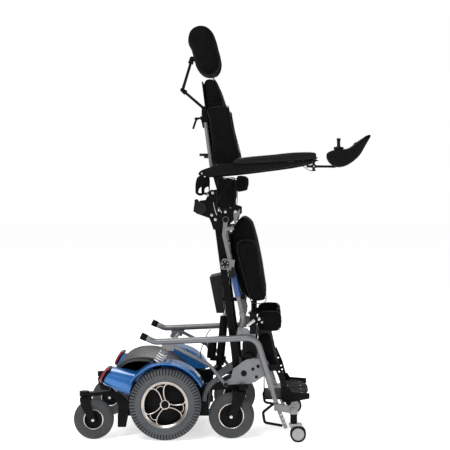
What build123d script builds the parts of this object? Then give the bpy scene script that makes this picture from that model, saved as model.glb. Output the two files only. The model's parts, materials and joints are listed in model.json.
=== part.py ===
"""Standing power wheelchair, seat raised. Millimetres; X forward, Y to the left, Z up, floor at Z = 0."""
from build123d import *
import math
import os

os.makedirs("parts", exist_ok=True)

# Driving dimensions
DRIVE_R = 159.0
DRIVE_Y = 296.0
REAR_STEM = (-360.0, 270.0)
REAR_AXLE = (-318.0, 89.0)
FRONT_STEM = (338.0, 256.0)
FRONT_AXLE = (291.0, 101.5)
TIP_STEM = (566.0, 325.0)
TIP_AXLE = (585.0, 35.0)
TUBE_Y = 250.0
TUBE_R = 14.0
FRAME_PIVOT = (345.5, 284.0)
LIFT_PIVOT = (330.0, 471.0)
HIP_PIVOT = (264.0, 970.0)
LINK_OFFSET = (-37.0, -31.0)
SEAT_Y = 218.0
RECLINE_PIVOT = (262.0, 1005.0)
ARM_PIVOT = (162.0, 1176.0)
ARM_Y = 290.0
JOYSTICK_POST_X = 655.0
ACTUATOR_FOOT = (222.0, 232.0)
ACTUATOR_HEAD = (270.0, 755.0)
ACTUATOR_Y = 70.0
KNEE_HINGE = (386.0, 216.0)
FOOT_HINGE_Y = 192.0
FOOT_HINGE_Z = 178.0
HEAD_JOINT = (155.0, 1482.0)
ELBOW = (55.0, 1568.0)
TILT_JOINT = (99.0, 1714.0)
LEVER_PIVOT = (150.0, 1425.0)
STICK_PIVOT = (765.0, -290.0, 1274.0)
PLAY = 0.05
SIDES = (-1, 1)
LOWER_LINK = (LIFT_PIVOT[0] + LINK_OFFSET[0], LIFT_PIVOT[1] + LINK_OFFSET[1])
UPPER_LINK = (HIP_PIVOT[0] + LINK_OFFSET[0], HIP_PIVOT[1] + LINK_OFFSET[1])


def span(side, inner, outer):
    """Low and high Y of a slice between two distances from the centre plane."""
    return (inner, outer) if side > 0 else (-outer, -inner)


def plate(points, y, mode=Mode.ADD, radius=0.0):
    """Side-view outline carried across the width y = (low, high)."""
    with BuildSketch(Plane.XZ.offset(-y[1])) as face:
        with BuildLine():
            Polyline(*points, close=True)
        make_face()
        if radius:
            fillet(face.vertices(), radius)
    extrude(face.sketch, amount=y[1] - y[0], mode=mode)


def disc(centre, radius, y, mode=Mode.ADD):
    """Cylinder lying across the chair at a side-view centre."""
    with BuildSketch(Plane.XZ.offset(-y[1])) as face:
        with Locations(centre):
            Circle(radius)
    extrude(face.sketch, amount=y[1] - y[0], mode=mode)


def post(centre, radius, z, mode=Mode.ADD):
    """Upright cylinder at a plan-view centre."""
    with BuildSketch(Plane.XY.offset(z[0])) as face:
        with Locations(centre):
            Circle(radius)
    extrude(face.sketch, amount=z[1] - z[0], mode=mode)


def slab(points, z, mode=Mode.ADD):
    """Plan-view outline carried up from z[0] to z[1]."""
    with BuildSketch(Plane.XY.offset(z[0])) as face:
        with BuildLine():
            Polyline(*points, close=True)
        make_face()
    extrude(face.sketch, amount=z[1] - z[0], mode=mode)


def block(x, y, z, mode=Mode.ADD):
    """Box between coordinate limits."""
    with Locations(((x[0] + x[1]) / 2, (y[0] + y[1]) / 2, (z[0] + z[1]) / 2)):
        Box(x[1] - x[0], y[1] - y[0], z[1] - z[0], mode=mode)


def rod(start, end, radius, mode=Mode.ADD):
    """Straight round bar between two points."""
    axis = Vector(*end) - Vector(*start)
    with BuildSketch(Plane(origin=start, z_dir=axis)) as face:
        Circle(radius)
    extrude(face.sketch, amount=axis.length, mode=mode)


def pipe(points, radius, bend, mode=Mode.ADD):
    """Round bar bent through the points."""
    with BuildLine() as path:
        FilletPolyline(*points, radius=bend)
    wire = path.wires()[0]
    with BuildSketch(Plane(origin=wire @ 0, z_dir=wire % 0)) as face:
        Circle(radius)
    sweep(face.sketch, path=wire, mode=mode)


def turned(centre, y, profile, mode=Mode.ADD, radius=0.0):
    """Turned solid on a crosswise axle; profile points are (radius, offset) pairs."""
    with BuildSketch(Plane(origin=(centre[0], y, centre[1]))) as face:
        with BuildLine():
            Polyline(*profile, close=True)
        make_face()
        if radius:
            fillet(face.vertices(), radius)
    revolve(face.sketch, axis=Axis((centre[0], y, centre[1]), (0, 1, 0)), mode=mode)


def along(start, end, distance, offset=0.0):
    """Side-view point on a line, measured from start, with an offset to its rear."""
    length = math.dist(start, end)
    ux = (end[0] - start[0]) / length
    uz = (end[1] - start[1]) / length
    return (start[0] + ux * distance - uz * offset, start[1] + uz * distance + ux * offset)


def band(start, end, width, y, mode=Mode.ADD):
    """Straight strap between two side-view points, square ended."""
    length = math.dist(start, end)
    corners = [
        along(start, end, 0, width / 2),
        along(start, end, length, width / 2),
        along(start, end, length, -width / 2),
        along(start, end, 0, -width / 2),
    ]
    plate(corners, y, mode)


MIDDLE_X = 250


def save(solid, name):
    """Label a sub-part and write its file, with the origin on the floor under the middle of the footprint."""
    placed = Pos(-MIDDLE_X, 0, 0) * solid
    placed.label = name
    export_step(placed, f"parts/{name}.step")


# Base frame: rails, pan, side arms with caster housings and the pivot for the side frames
AXLE = (0.0, DRIVE_R)
with BuildPart() as base_frame:
    block((-200, 150), (-150, 150), (84, 90))
    for side in SIDES:
        block((-215, 190), span(side, 150, 180), (84, 110))
        block((150, 185), span(side, 0, 220), (108, 150))
        block((157, 179), span(side, 218, 247), (109, 161))
        block((-205, -175), span(side, 150, 180), (100, 142))
        rod((-190, side * 170, 130), (-190, side * 211.5, 130), 12)
        plate(
            [(-62, 112), (160, 112), (185, 150), (190, 206), (322, 213), (366, 213), (366, 246), (362, 302),
             (329, 302), (322, 246), (200, 240), (150, 230), (-62, 228)],
            span(side, 196, 220),
        )
        block((160, 182), span(side, 178, 200), (112, 148))
        plate([(-62, 222), (-24, 222), (-24, 326), (-62, 320)], span(side, 208, 220))
        plate([(-62, 305), (-30, 318), (-30, 326), (-62, 320)], span(side, 208, 250))
        rod((-43, side * TUBE_Y, 325.4), (-38.5, side * TUBE_Y, 332.6), 20)
        disc(AXLE, 48.1, span(side, 190, 230), Mode.SUBTRACT)
        disc(FRAME_PIVOT, 14, span(side, 219, 223))
        disc(FRAME_PIVOT, 9, span(side, 219, 233))
        disc(FRAME_PIVOT, 13, span(side, 232, 235.5))
        block((322, 354), span(side, 219, 240), (213, 230))
        post((FRONT_STEM[0], side * FRONT_STEM[1]), 20, (213, 232))
        post((FRONT_STEM[0], side * FRONT_STEM[1]), 8 + PLAY, (200, 240), Mode.SUBTRACT)
save(base_frame.part, "base_frame")

with BuildPart() as rear_caster_arms:
    for side in SIDES:
        slab(
            [(-368, side * 286), (-340, side * 288), (-250, side * 236), (-240, side * 212), (-275, side * 212),
             (-372, side * 256)],
            (190, 206),
        )
        plate(
            [(-291, 206), (-245, 206), (-205, 192), (-168, 150), (-172, 94), (-182, 44), (-218, 44), (-218, 94),
             (-214, 140), (-232, 170), (-252, 184), (-291, 190)],
            span(side, 212, 232),
        )
        post((REAR_STEM[0], side * REAR_STEM[1]), 22, (190, 212))
        post((REAR_STEM[0], side * REAR_STEM[1]), 8 + PLAY, (186, 209), Mode.SUBTRACT)
save(rear_caster_arms.part, "rear_caster_arms")

with BuildPart() as battery_pack:
    block((-190, 60), (-95, 95), (90, 225))
    fillet(battery_pack.edges().filter_by(Axis.Z), 8)
save(battery_pack.part, "battery_pack")

COVER_OUTER = [(-258, 196), (-240, 288), (-192, 334), (-122, 350), (-60, 344), (-10, 322), (60, 268), (114, 222),
               (114, 196)]
COVER_INNER = [(-252, 190), (-235, 285), (-189, 329), (-122, 344), (-62, 338), (-13, 317), (56, 263), (109, 219),
               (109, 190)]
with BuildPart() as centre_cover:
    plate(COVER_OUTER, (-185.5, 185.5))
    plate(COVER_INNER, (-190, 190), Mode.SUBTRACT)
    for side in SIDES:
        plate(
            [(-246, 230), (-228, 292), (-188, 331), (-122, 346), (-60, 340), (-60, 322), (-122, 326), (-178, 314),
             (-212, 282), (-226, 230)],
            span(side, 176, 185.5),
        )
save(centre_cover.part, "centre_cover")

FENDER_IN = 176.0
FENDER_OUT = 184.0
LIGHT_LOW = (-283.0, 255.0)
LIGHT_HIGH = (-252.0, 311.0)
POD = [(-246, 308), (-127, 283), (-146, 236), (-158, 194), (-196, 204), (-281, 246)]
with BuildPart() as side_shrouds:
    for side in SIDES:
        disc(AXLE, FENDER_OUT, span(side, 186, 325))
        disc(AXLE, FENDER_IN, span(side, 190, 326), Mode.SUBTRACT)
        plate([(0, 159), (260, 291), (260, -60), (-260, -60), (-260, 259)], span(side, 185, 326), Mode.SUBTRACT)
        block((-260, 260), span(side, 185, 326), (-60, 238), Mode.SUBTRACT)
        plate(POD, span(side, 186, 292), radius=5)
        block((-72, 2), span(side, 204, 277), (300, 360), Mode.SUBTRACT)
        plate(
            [along(LIGHT_LOW, LIGHT_HIGH, -8, 14), along(LIGHT_LOW, LIGHT_HIGH, 72, 14),
             along(LIGHT_LOW, LIGHT_HIGH, 72, -8), along(LIGHT_LOW, LIGHT_HIGH, -8, -8)],
            span(side, 206, 293),
            Mode.SUBTRACT,
        )
save(side_shrouds.part, "side_shrouds")

with BuildPart() as tail_lights:
    for side in SIDES:
        plate(
            [along(LIGHT_LOW, LIGHT_HIGH, -6, 12), along(LIGHT_LOW, LIGHT_HIGH, 70, 12),
             along(LIGHT_LOW, LIGHT_HIGH, 70, -8), along(LIGHT_LOW, LIGHT_HIGH, -6, -8)],
            span(side, 208, 291),
            radius=8,
        )
save(tail_lights.part, "tail_lights")

with BuildPart() as drive_motors:
    for side in SIDES:
        disc(AXLE, 42, span(side, 100, 182))
        disc(AXLE, 48, span(side, 182, 222))
        disc(AXLE, 56, span(side, 220, 226))
        disc(AXLE, 40, span(side, 226, 246))
        disc(AXLE, 12, span(side, 240, 312))
save(drive_motors.part, "drive_motors")

with BuildPart() as conduits:
    for side in SIDES:
        pipe([(236, side * 236, 268), (190, side * 236, 226), (168, side * 236, 186), (168, side * 236, 161)],
             12.5, 16)
save(conduits.part, "cable_conduits")

SPRING_LOW = (-38.5, 332.6)
SPRING_HIGH = (-7.2, 382.2)
SPRING_WIRE = 3.5
with BuildPart() as suspension_springs:
    for side in SIDES:
        foot = along(SPRING_LOW, SPRING_HIGH, SPRING_WIRE + 0.3)
        reach = math.dist(SPRING_LOW, SPRING_HIGH) - 2 * SPRING_WIRE - 0.6
        lean = Vector(SPRING_HIGH[0] - SPRING_LOW[0], 0, SPRING_HIGH[1] - SPRING_LOW[1])
        coil = Helix(pitch=reach / 4, height=reach, radius=18.5, center=(foot[0], side * TUBE_Y, foot[1]),
                     direction=lean)
        with BuildSketch(Plane(origin=coil @ 0, z_dir=coil % 0)) as wire:
            Circle(SPRING_WIRE)
        sweep(wire.sketch, path=coil, is_frenet=True)
save(suspension_springs.part, "suspension_springs")

# Side frame: bent tubes, pivot plates, knee gussets, cross tubes, link and actuator brackets
PIVOT_PLATE = [(410, 354), (357, 345), (336, 333), (318, 318), (297, 303), (288, 262), (262, 248), (262, 232),
               (301, 235), (367, 236), (398, 245), (439, 274), (432, 320)]
GUSSET = [(312, 450), (318, 484), (338, 489), (362, 486), (372, 474), (400, 474), (398, 446)]
with BuildPart() as side_frame:
    for side in SIDES:
        tube_y = side * TUBE_Y
        pipe([(-86, tube_y, 443.5), (-50, tube_y, 427), (402, tube_y, 446), (471, tube_y, 216)], TUBE_R, 58)
        rod((468, tube_y, 226), (490, tube_y, 153), 10)
        plate(PIVOT_PLATE, span(side, 224, 231))
        block((395, 428), span(side, 224, 245), (326, 350))
        disc(FRAME_PIVOT, 9 + PLAY, span(side, 223, 232), Mode.SUBTRACT)
        plate(GUSSET, span(side, 238, 246))
        disc(LIFT_PIVOT, 8 + PLAY, span(side, 237, 247), Mode.SUBTRACT)
        pipe([(40, side * 258, 404), (195, side * 258, 324), (264, side * 258, 239)], 8, 14)
        disc((266, 240), 10, span(side, 224, 267))
        plate([(-14, 388), (34, 388), (48, 420), (-20, 420)], span(side, 245, 255))
        rod((-7.2, tube_y, 382.2), (-2.9, tube_y, 389), 20)
        rod((17, 0, 402), (17, tube_y, 402), 9)
        rod((311, 0, 292), (311, side * 228, 292), 12)
        plate([(296, 284), (326, 284), (322, 380), (309, 450), (293, 457), (277, 444), (286, 380)],
              span(side, 168, 176))
        disc(LOWER_LINK, 8, span(side, 154, 170))
        rod((440, 0, 318), (440, tube_y, 318), 10)
        block((432, 500), span(side, 213.5, 240), (296, 322))
        plate([(356, 346), (384, 346), (384, 372), (356, 372)], span(side, 205, 231))
    for ear in ((50, 56), (84, 90)):
        plate([(322, 282), (312, 306), (240, 262), (212, 244), (208, 224), (224, 216), (240, 222)], ear)
    disc(ACTUATOR_FOOT, 7, (50, 90))
save(side_frame.part, "side_frame")

with BuildPart() as black_trim:
    for side in SIDES:
        tube_y = side * TUBE_Y
        rod((-86, tube_y, 443.5), (-112, tube_y, 455.4167), 15.5)
        pipe([(480, side * 239.5, 151), (431, side * 239.5, 112), (438, side * 239.5, 66), (518, side * 239.5, 52)],
             6, 15)
        plate([(372, 462), (372, 560), (400, 560), (400, 462)], span(side, 246, 252))
        for low, high in ((484, 492), (542, 550)):
            block((376, 397), span(side, 205, 248), (low, high))
        post((KNEE_HINGE[0], side * KNEE_HINGE[1]), 5, (480, 554))
save(black_trim.part, "end_caps_and_loops")

with BuildPart() as anti_tip_brackets:
    for side in SIDES:
        stem = (TIP_STEM[0], side * TIP_STEM[1])
        plate([(476, 158), (500, 158), (512, 120), (541, 46), (526, 40), (497, 112)], span(side, 246, 254))
        slab([(480, side * 246), (492, side * 246), (572, side * 318), (560, side * 326), (480, side * 258)],
             (123, 152))
        post(stem, 17, (122, 148))
        post(stem, 8 + PLAY, (118, 144), Mode.SUBTRACT)
        rod((466, side * TUBE_Y, 232), (491, side * TUBE_Y, 149), 11, Mode.SUBTRACT)
        for height in (66, 84, 102):
            disc((541 - (height - 46) * 0.39 - 7.5, height), 3, span(side, 245, 255), Mode.SUBTRACT)
save(anti_tip_brackets.part, "anti_tip_brackets")

with BuildPart() as frame_bolts:
    for side in SIDES:
        for centre in ((386, 303), (409, 315), (402, 268)):
            disc(centre, 7.5, span(side, 231, 235.5))
            disc(centre, 4, span(side, 235.5, 238))
        disc((266, 240), 7, span(side, 267, 270.5))
        for centre in ((386, 508), (386, 532)):
            disc(centre, 6, span(side, 252, 256))
save(frame_bolts.part, "frame_bolts")

with BuildPart() as control_box:
    for side in SIDES:
        block((338, 404), span(side, 110, 205), (350, 418))
    fillet(control_box.edges().filter_by(Axis.Y), 8)
save(control_box.part, "control_boxes")

LEG_LOW = (545.0, 150.0)
LEG_MID = (513.0, 267.0)
LEG_TOP = (484.0, 334.0)
with BuildPart() as leg_bars:
    for side in SIDES:
        y = span(side, 205.5, 213.5)
        band(LEG_TOP, LEG_MID, 26, y)
        band(LEG_MID, LEG_LOW, 26, y)
        disc(LEG_MID, 13, y)
        disc(LEG_LOW, 13, y)
        for step in range(6):
            disc(along(LEG_MID, LEG_LOW, 18 + 19 * step), 4, y, Mode.SUBTRACT)
        for step in range(3):
            disc(along(LEG_TOP, LEG_MID, 12 + 19 * step), 4, y, Mode.SUBTRACT)
save(leg_bars.part, "leg_bars")

with BuildPart() as calf_pad:
    plate([(410, 458), (462, 461), (476, 400), (489, 340), (505, 296), (472, 288), (454, 322), (450, 338),
           (424, 348), (410, 382), (407, 424)], (-180, 180), radius=4)
save(calf_pad.part, "calf_pad")

with BuildPart() as foot_carriers:
    for side in SIDES:
        plate([(514, 216), (548, 216), (560, 196), (640, 190), (640, 166), (560, 150), (516, 150)],
              span(side, 201, 205))
        for x in ((520, 529), (629, 638)):
            block(x, span(side, 186, 202), (FOOT_HINGE_Z - 8, FOOT_HINGE_Z + 8))
        rod((520, side * FOOT_HINGE_Y, FOOT_HINGE_Z), (638, side * FOOT_HINGE_Y, FOOT_HINGE_Z), 5)
        rod((528, 0, 158), (528, side * 202, 158), 7)
    block((433, 528), (-138, 138), (150, 154))
    block((433, 438), (-138, 138), (150, 220))
save(foot_carriers.part, "foot_carriers")


def footplate(side):
    """Flip-up foot plate with its hinge barrel."""
    with BuildPart() as tread:
        block((513, 640), span(side, 8, 182), (174, 182))
        front = tread.edges().filter_by(Axis.Z).sort_by(Axis.X)[-2:].sort_by(Axis.Y)
        fillet(front[0] if side < 0 else front[-1], 46)
        block((532, 594), span(side, 180, 188), (174, 182))
        rod((532, side * FOOT_HINGE_Y, FOOT_HINGE_Z), (626, side * FOOT_HINGE_Y, FOOT_HINGE_Z), 8.5)
        rod((530, side * FOOT_HINGE_Y, FOOT_HINGE_Z), (628, side * FOOT_HINGE_Y, FOOT_HINGE_Z), 5 + PLAY,
            Mode.SUBTRACT)
        block((516, 520), span(side, 20, 176), (182, 186))
    return tread.part


def knee_pad(side):
    """Padded cup beside and in front of the knee, on its own upright hinge."""
    octagon = [(402, 486), (402, 540), (424, 562), (496, 562), (518, 540), (518, 486), (496, 464), (424, 464)]
    with BuildPart() as cup:
        plate(octagon, span(side, 174, 195), radius=6)
        plate([(494, 484), (494, 546), (516, 542), (516, 488)], span(side, 40, 190), radius=4)
        block((392, 440), span(side, 195, 203), (500, 534))
        post((KNEE_HINGE[0], side * KNEE_HINGE[1]), 10, (494, 540))
        block((386, 400), span(side, 199, 216), (500, 534))
        post((KNEE_HINGE[0], side * KNEE_HINGE[1]), 5 + PLAY, (490, 544), Mode.SUBTRACT)
    return cup.part


def drive_tyre(side):
    """Chunky tyre with side lugs."""
    with BuildPart() as tyre:
        turned(
            AXLE, side * DRIVE_Y,
            [(103, -23), (103, 23), (120, 28), (138, 28.5), (152, 25), (159, 12), (159, -12), (152, -25),
             (138, -28.5), (120, -28)],
            radius=3,
        )
        for turn in range(24):
            angle = math.radians(15 * turn)
            centre = (AXLE[0] + 155.5 * math.cos(angle), AXLE[1] + 155.5 * math.sin(angle))
            disc(centre, 2.6, span(side, DRIVE_Y + 14, DRIVE_Y + 30), Mode.SUBTRACT)
    return tyre.part


def drive_rim(side):
    """Rim with three split spokes and a dished centre."""
    with BuildPart() as rim:
        turned(AXLE, side * DRIVE_Y, [(92, -24), (103, -24), (103, 24), (92, 24)])
        disc(AXLE, 96, span(side, DRIVE_Y - 21, DRIVE_Y - 16))
        disc(AXLE, 24, span(side, DRIVE_Y - 24, DRIVE_Y + 18))
        for turn in (105, 225, 345):
            for fork in (-17, 17):
                root = math.radians(turn + fork * 0.9)
                tip = math.radians(turn + fork)
                band(
                    (AXLE[0] + 19 * math.cos(root), AXLE[1] + 19 * math.sin(root)),
                    (AXLE[0] + 97 * math.cos(tip), AXLE[1] + 97 * math.sin(tip)),
                    9, span(side, DRIVE_Y + 2, DRIVE_Y + 16),
                )
        disc(AXLE, 12 + PLAY, span(side, DRIVE_Y - 30, DRIVE_Y + 16.1), Mode.SUBTRACT)
    return rim.part


def caster_wheel(axle, y, radius, width, rim_radius, bore):
    """Solid-tyred caster wheel: tyre and rim as two solids."""
    half = width / 2
    with BuildPart() as wheel:
        turned(
            axle, y,
            [(rim_radius, -half * 0.8), (rim_radius, half * 0.8), (radius * 0.8, half), (radius * 0.94, half * 0.8),
             (radius, half * 0.35), (radius, -half * 0.35), (radius * 0.94, -half * 0.8), (radius * 0.8, -half)],
            radius=2,
        )
    with BuildPart() as rim:
        turned(axle, y, [(bore, -half * 0.85), (bore + 10, -half * 0.85), (bore + 12, -half * 0.4),
                         (rim_radius - 8, -half * 0.4), (rim_radius - 5, -half * 0.8), (rim_radius, -half * 0.8),
                         (rim_radius, half * 0.8), (rim_radius - 5, half * 0.8), (rim_radius - 8, half * 0.4),
                         (bore + 12, half * 0.4), (bore + 10, half * 0.85), (bore, half * 0.85)])
    return Compound(children=[wheel.part, rim.part])


def rear_fork(side):
    """Fork of a rear caster, leaning forward down to the axle."""
    y = REAR_STEM[1]
    with BuildPart() as fork:
        slab([(-376, side * (y - 33)), (-376, side * (y + 33)), (-330, side * (y + 33)), (-330, side * (y - 33))],
             (181, 189))
        for inner in (y - 33, y + 25):
            leg = span(side, inner, inner + 8)
            plate([(-376, 189), (-334, 189), (-318, 130), (-306, 94), (-318, 76), (-332, 84), (-352, 130),
                   (-372, 160)], leg)
            disc(REAR_AXLE, 13, leg)
        disc(REAR_AXLE, 6, span(side, y - 36, y + 36))
        post((REAR_STEM[0], side * y), 8, (185, 208))
    return fork.part


def front_fork(side):
    """Fork of a front caster."""
    y = FRONT_STEM[1]
    with BuildPart() as fork:
        slab([(292, side * (y - 36)), (292, side * (y + 36)), (358, side * (y + 36)), (358, side * (y - 36))],
             (204, 211))
        for inner in (y - 36, y + 28):
            leg = span(side, inner, inner + 8)
            plate([(292, 211), (358, 211), (346, 176), (316, 110), (300, 90), (280, 90), (278, 112), (292, 160)],
                  leg)
            disc(FRONT_AXLE, 14, leg)
        disc(FRONT_AXLE, 6, span(side, y - 39, y + 39))
        post((FRONT_STEM[0], side * y), 8, (208, 236))
        post((FRONT_STEM[0], side * y), 13, (233, 238))
    return fork.part


def anti_tip_fork(side):
    """Hooded fork of a small anti-tip caster with its rubber stem."""
    y = TIP_STEM[1]
    with BuildPart() as fork:
        slab([(546, side * (y - 21)), (546, side * (y + 21)), (600, side * (y + 21)), (600, side * (y - 21))],
             (71.5, 80))
        plate([(548, 80), (600, 80), (602, 56), (594, 28), (576, 28), (560, 56)], span(side, y - 6, y + 6))
        disc(TIP_AXLE, 4, span(side, y - 22, y + 22))
        post((TIP_STEM[0], side * y), 15.5, (79, 121))
        post((TIP_STEM[0], side * y), 8, (120, 143))
    return fork.part


def twin_wheel(side):
    """Two narrow tyres with light centres either side of the fork's web."""
    solids = []
    for offset in (-14, 14):
        y = side * TIP_STEM[1] + offset
        with BuildPart() as tyre:
            turned(TIP_AXLE, y, [(27, -5.5), (27, 5.5), (31, 6.25), (35, 3.5), (35, -3.5), (31, -6.25)], radius=1)
        with BuildPart() as centre:
            turned(TIP_AXLE, y, [(4 + PLAY, -6), (27, -5), (27, 5), (4 + PLAY, 6)])
        solids += [tyre.part, centre.part]
    return Compound(children=solids)


for side, tag in ((-1, "r"), (1, "l")):
    save(footplate(side), f"footplate_{tag}")
    save(knee_pad(side), f"knee_pad_{tag}")
    save(drive_tyre(side), f"drive_tyre_{tag}")
    save(drive_rim(side), f"drive_rim_{tag}")
    save(rear_fork(side), f"rear_fork_{tag}")
    save(front_fork(side), f"front_fork_{tag}")
    save(anti_tip_fork(side), f"anti_tip_fork_{tag}")
    save(caster_wheel(REAR_AXLE, side * REAR_STEM[1], 89, 45, 46, 6 + PLAY), f"rear_wheel_{tag}")
    save(caster_wheel(FRONT_AXLE, side * FRONT_STEM[1], 101.5, 50, 58, 6 + PLAY), f"front_wheel_{tag}")
    save(twin_wheel(side), f"anti_tip_wheel_{tag}")

# Seat frame that swings up on the side frame
KNEE_COLLAR = (344.0, 522.0)
TUBE_TOP = (258.0, 905.0)


def seat_line(height):
    """X of the straight part of the seat tube at a height."""
    return KNEE_COLLAR[0] + (TUBE_TOP[0] - KNEE_COLLAR[0]) * (height - KNEE_COLLAR[1]) / (TUBE_TOP[1] - KNEE_COLLAR[1])


with BuildPart() as seat_frame:
    for side in SIDES:
        y = side * SEAT_Y
        pipe([(LIFT_PIVOT[0], y, LIFT_PIVOT[1]), (KNEE_COLLAR[0], y, KNEE_COLLAR[1]),
              (TUBE_TOP[0], y, TUBE_TOP[1]), (HIP_PIVOT[0], y, HIP_PIVOT[1])], 10.5, 20)
        disc(LIFT_PIVOT, 13, span(side, 207, 236))
        disc(LIFT_PIVOT, 8, span(side, 230, 248))
        disc(LIFT_PIVOT, 11, span(side, 247, 251))
        disc(HIP_PIVOT, 14, span(side, 206.5, 228))
        disc(HIP_PIVOT, 8 + PLAY, span(side, 204, 230), Mode.SUBTRACT)
        plate([(246, 748), (300, 746), (306, 790), (252, 796), (239, 772)], span(side, 203, 233), radius=4)
        rod((KNEE_COLLAR[0] - 1, y, 530), (seat_line(556), y, 556), 14)
        rod((258, y, 926), (300, y, 932), 9)
        rod((seat_line(600), 0, 600), (seat_line(600), y, 600), 9)
        rod((284, 0, 806), (284, y, 806), 8)
        rod((276, 0, 862), (276, y, 862), 8)
    plate([(297, 750), (302, 750), (279, 902), (274, 902)], (-170, 170))
    plate([(350, 596), (355, 598), (303, 750), (298, 750)], (-170, 170))
    block((330, 352), (-30, 30), (594, 606))
    for ear in ((50, 56), (84, 90)):
        plate([(262, 742), (300, 740), (300, 760), (288, 780), (262, 768), (256, 755)], ear)
        disc(ACTUATOR_HEAD, 5, (ear[0], ear[1] + 1) if ear[0] < ACTUATOR_Y else (ear[0] - 1, ear[1]))
    plate([(249.6, 590), (330, 590), (330, 606), (248.4, 606)], (-70, -40))
save(seat_frame.part, "seat_frame")

with BuildPart() as seat_sleeves:
    for side in SIDES:
        y = side * SEAT_Y
        rod((seat_line(627), y, 627), (seat_line(737), y, 737), 14.5)
        rod((seat_line(620), y, 620), (seat_line(744), y, 744), 10.5, Mode.SUBTRACT)
save(seat_sleeves.part, "seat_sleeves")

CUSHION = [(283, 906), (306, 752), (358, 600), (384, 592), (452, 603), (427, 768), (407, 868), (379, 972),
           (352, 994), (334, 992), (300, 960)]
with BuildPart() as seat_cushion:
    plate(CUSHION, (-176, 176), radius=8)
    for side in SIDES:
        plate([(290, 860), (306, 762), (312, 730), (358, 604), (384, 593), (451, 604), (427, 766), (409, 860)],
              span(side, 174, 202), radius=5)
        plate([(338, 724), (372, 606), (384, 593), (451, 604), (427, 766), (409, 860), (306, 862)],
              span(side, 200, 228), radius=5)
save(seat_cushion.part, "seat_cushion")

with BuildPart() as under_seat_box:
    plate([(188, 706), (240, 718), (253, 544), (220, 544)], (-150, 30))
with BuildPart() as clamp_knobs:
    for side in SIDES:
        disc((262, 771), 18, span(side, 233, 238))
        disc((257, 771), 4, span(side, 238, 243))
        disc((295, 728), 17, span(side, 234, 246))
        disc((295, 752), 6, span(side, 233, 240))
        plate([(289, 724), (301, 724), (301, 756), (289, 756)], span(side, 234, 238))
save(Compound(children=[under_seat_box.part, clamp_knobs.part]), "seat_fittings")

# Lift actuator from the side frame up to the seat frame
ACTUATOR_LENGTH = math.dist(ACTUATOR_FOOT, ACTUATOR_HEAD)


def actuator_point(distance, offset=0.0):
    """Point on the actuator's axis, or beside it."""
    x, z = along(ACTUATOR_FOOT, ACTUATOR_HEAD, distance, offset)
    return (x, ACTUATOR_Y, z)


with BuildPart() as lift_actuator_body:
    disc(ACTUATOR_FOOT, 14, (58, 82))
    band(ACTUATOR_FOOT, along(ACTUATOR_FOOT, ACTUATOR_HEAD, 50), 22, (58, 82))
    rod(actuator_point(43), actuator_point(275), 19)
    rod(actuator_point(62), actuator_point(84), 27)
    rod(actuator_point(72, 44), actuator_point(165, 44), 21)
    band(along(ACTUATOR_FOOT, ACTUATOR_HEAD, 73, -10), along(ACTUATOR_FOOT, ACTUATOR_HEAD, 73, 48), 22, (52, 88))
    disc(ACTUATOR_FOOT, 7 + PLAY, (40, 100), Mode.SUBTRACT)
    rod(actuator_point(20), actuator_point(280), 10 + PLAY, Mode.SUBTRACT)
save(lift_actuator_body.part, "lift_actuator_body")

with BuildPart() as lift_actuator_rod:
    rod(actuator_point(256), actuator_point(ACTUATOR_LENGTH - 8), 10)
    disc(ACTUATOR_HEAD, 12, (58, 82))
save(lift_actuator_rod.part, "lift_actuator_rod")

with BuildPart() as parallel_links:
    for side in SIDES:
        y = span(side, 156, 166)
        band(LOWER_LINK, UPPER_LINK, 30, y)
        disc(LOWER_LINK, 15, y)
        disc(UPPER_LINK, 15, y)
        disc(LOWER_LINK, 8 + PLAY, y, Mode.SUBTRACT)
        disc(UPPER_LINK, 8 + PLAY, y, Mode.SUBTRACT)
save(parallel_links.part, "parallel_links")

# Hip bracket, kept upright by the parallel links
HIP_PLATE = [(208, 924), (244, 924), (284, 952), (328, 990), (328, 1022), (290, 1034), (268, 1100), (196, 1104),
             (172, 1056), (124, 1050), (118, 1006), (150, 990), (190, 976), (200, 950)]
with BuildPart() as hip_bracket:
    for side in SIDES:
        plate(HIP_PLATE, span(side, 194, 204), radius=5)
        plate([(206, 1021), (216, 1021), (220, 998), (211, 998)], span(side, 193, 205), Mode.SUBTRACT)
        plate([(227, 1021), (246, 1018), (241, 994), (233, 994)], span(side, 193, 205), Mode.SUBTRACT)
        plate([(298, 1002), (314, 1004), (320, 986), (309, 948), (301, 958)], span(side, 203, 207))
        disc(HIP_PIVOT, 8, span(side, 200, 230))
        disc(HIP_PIVOT, 12, span(side, 229, 233))
        disc(UPPER_LINK, 8, span(side, 154, 196))
        disc(RECLINE_PIVOT, 8, span(side, 180, 196))
        rod((195, 0, 1020), (195, side * 198, 1020), 7)
        rod((208, 0, 972), (208, side * 198, 972), 7)
        for centre in ((255, 1062), (285, 1026)):
            disc(centre, 5, span(side, 203, 212))
        for centre in ((217, 970), (262, 1005), (307, 1006), (201, 990), (182, 1080), (205, 1090)):
            disc(centre, 6, span(side, 203, 208))
save(hip_bracket.part, "hip_bracket")

with BuildPart() as recline_motor:
    disc((149, 1021), 28, (-226, -204))
    disc((149, 1021), 26, (-194, -90))
    disc((133, 1053), 9, (-222, -204))
save(recline_motor.part, "recline_motor")

with BuildPart() as side_guards:
    for side in SIDES:
        plate([(222, 1014), (305, 1020), (309, 1158), (228, 1160)], span(side, 212, 219), radius=8)
        plate([(309, 1093), (356, 1097), (364, 1130), (358, 1168), (309, 1164)], span(side, 206, 226), radius=4)
        block((300, 309), span(side, 212, 219), (1100, 1156))
save(side_guards.part, "side_guards")

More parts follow.
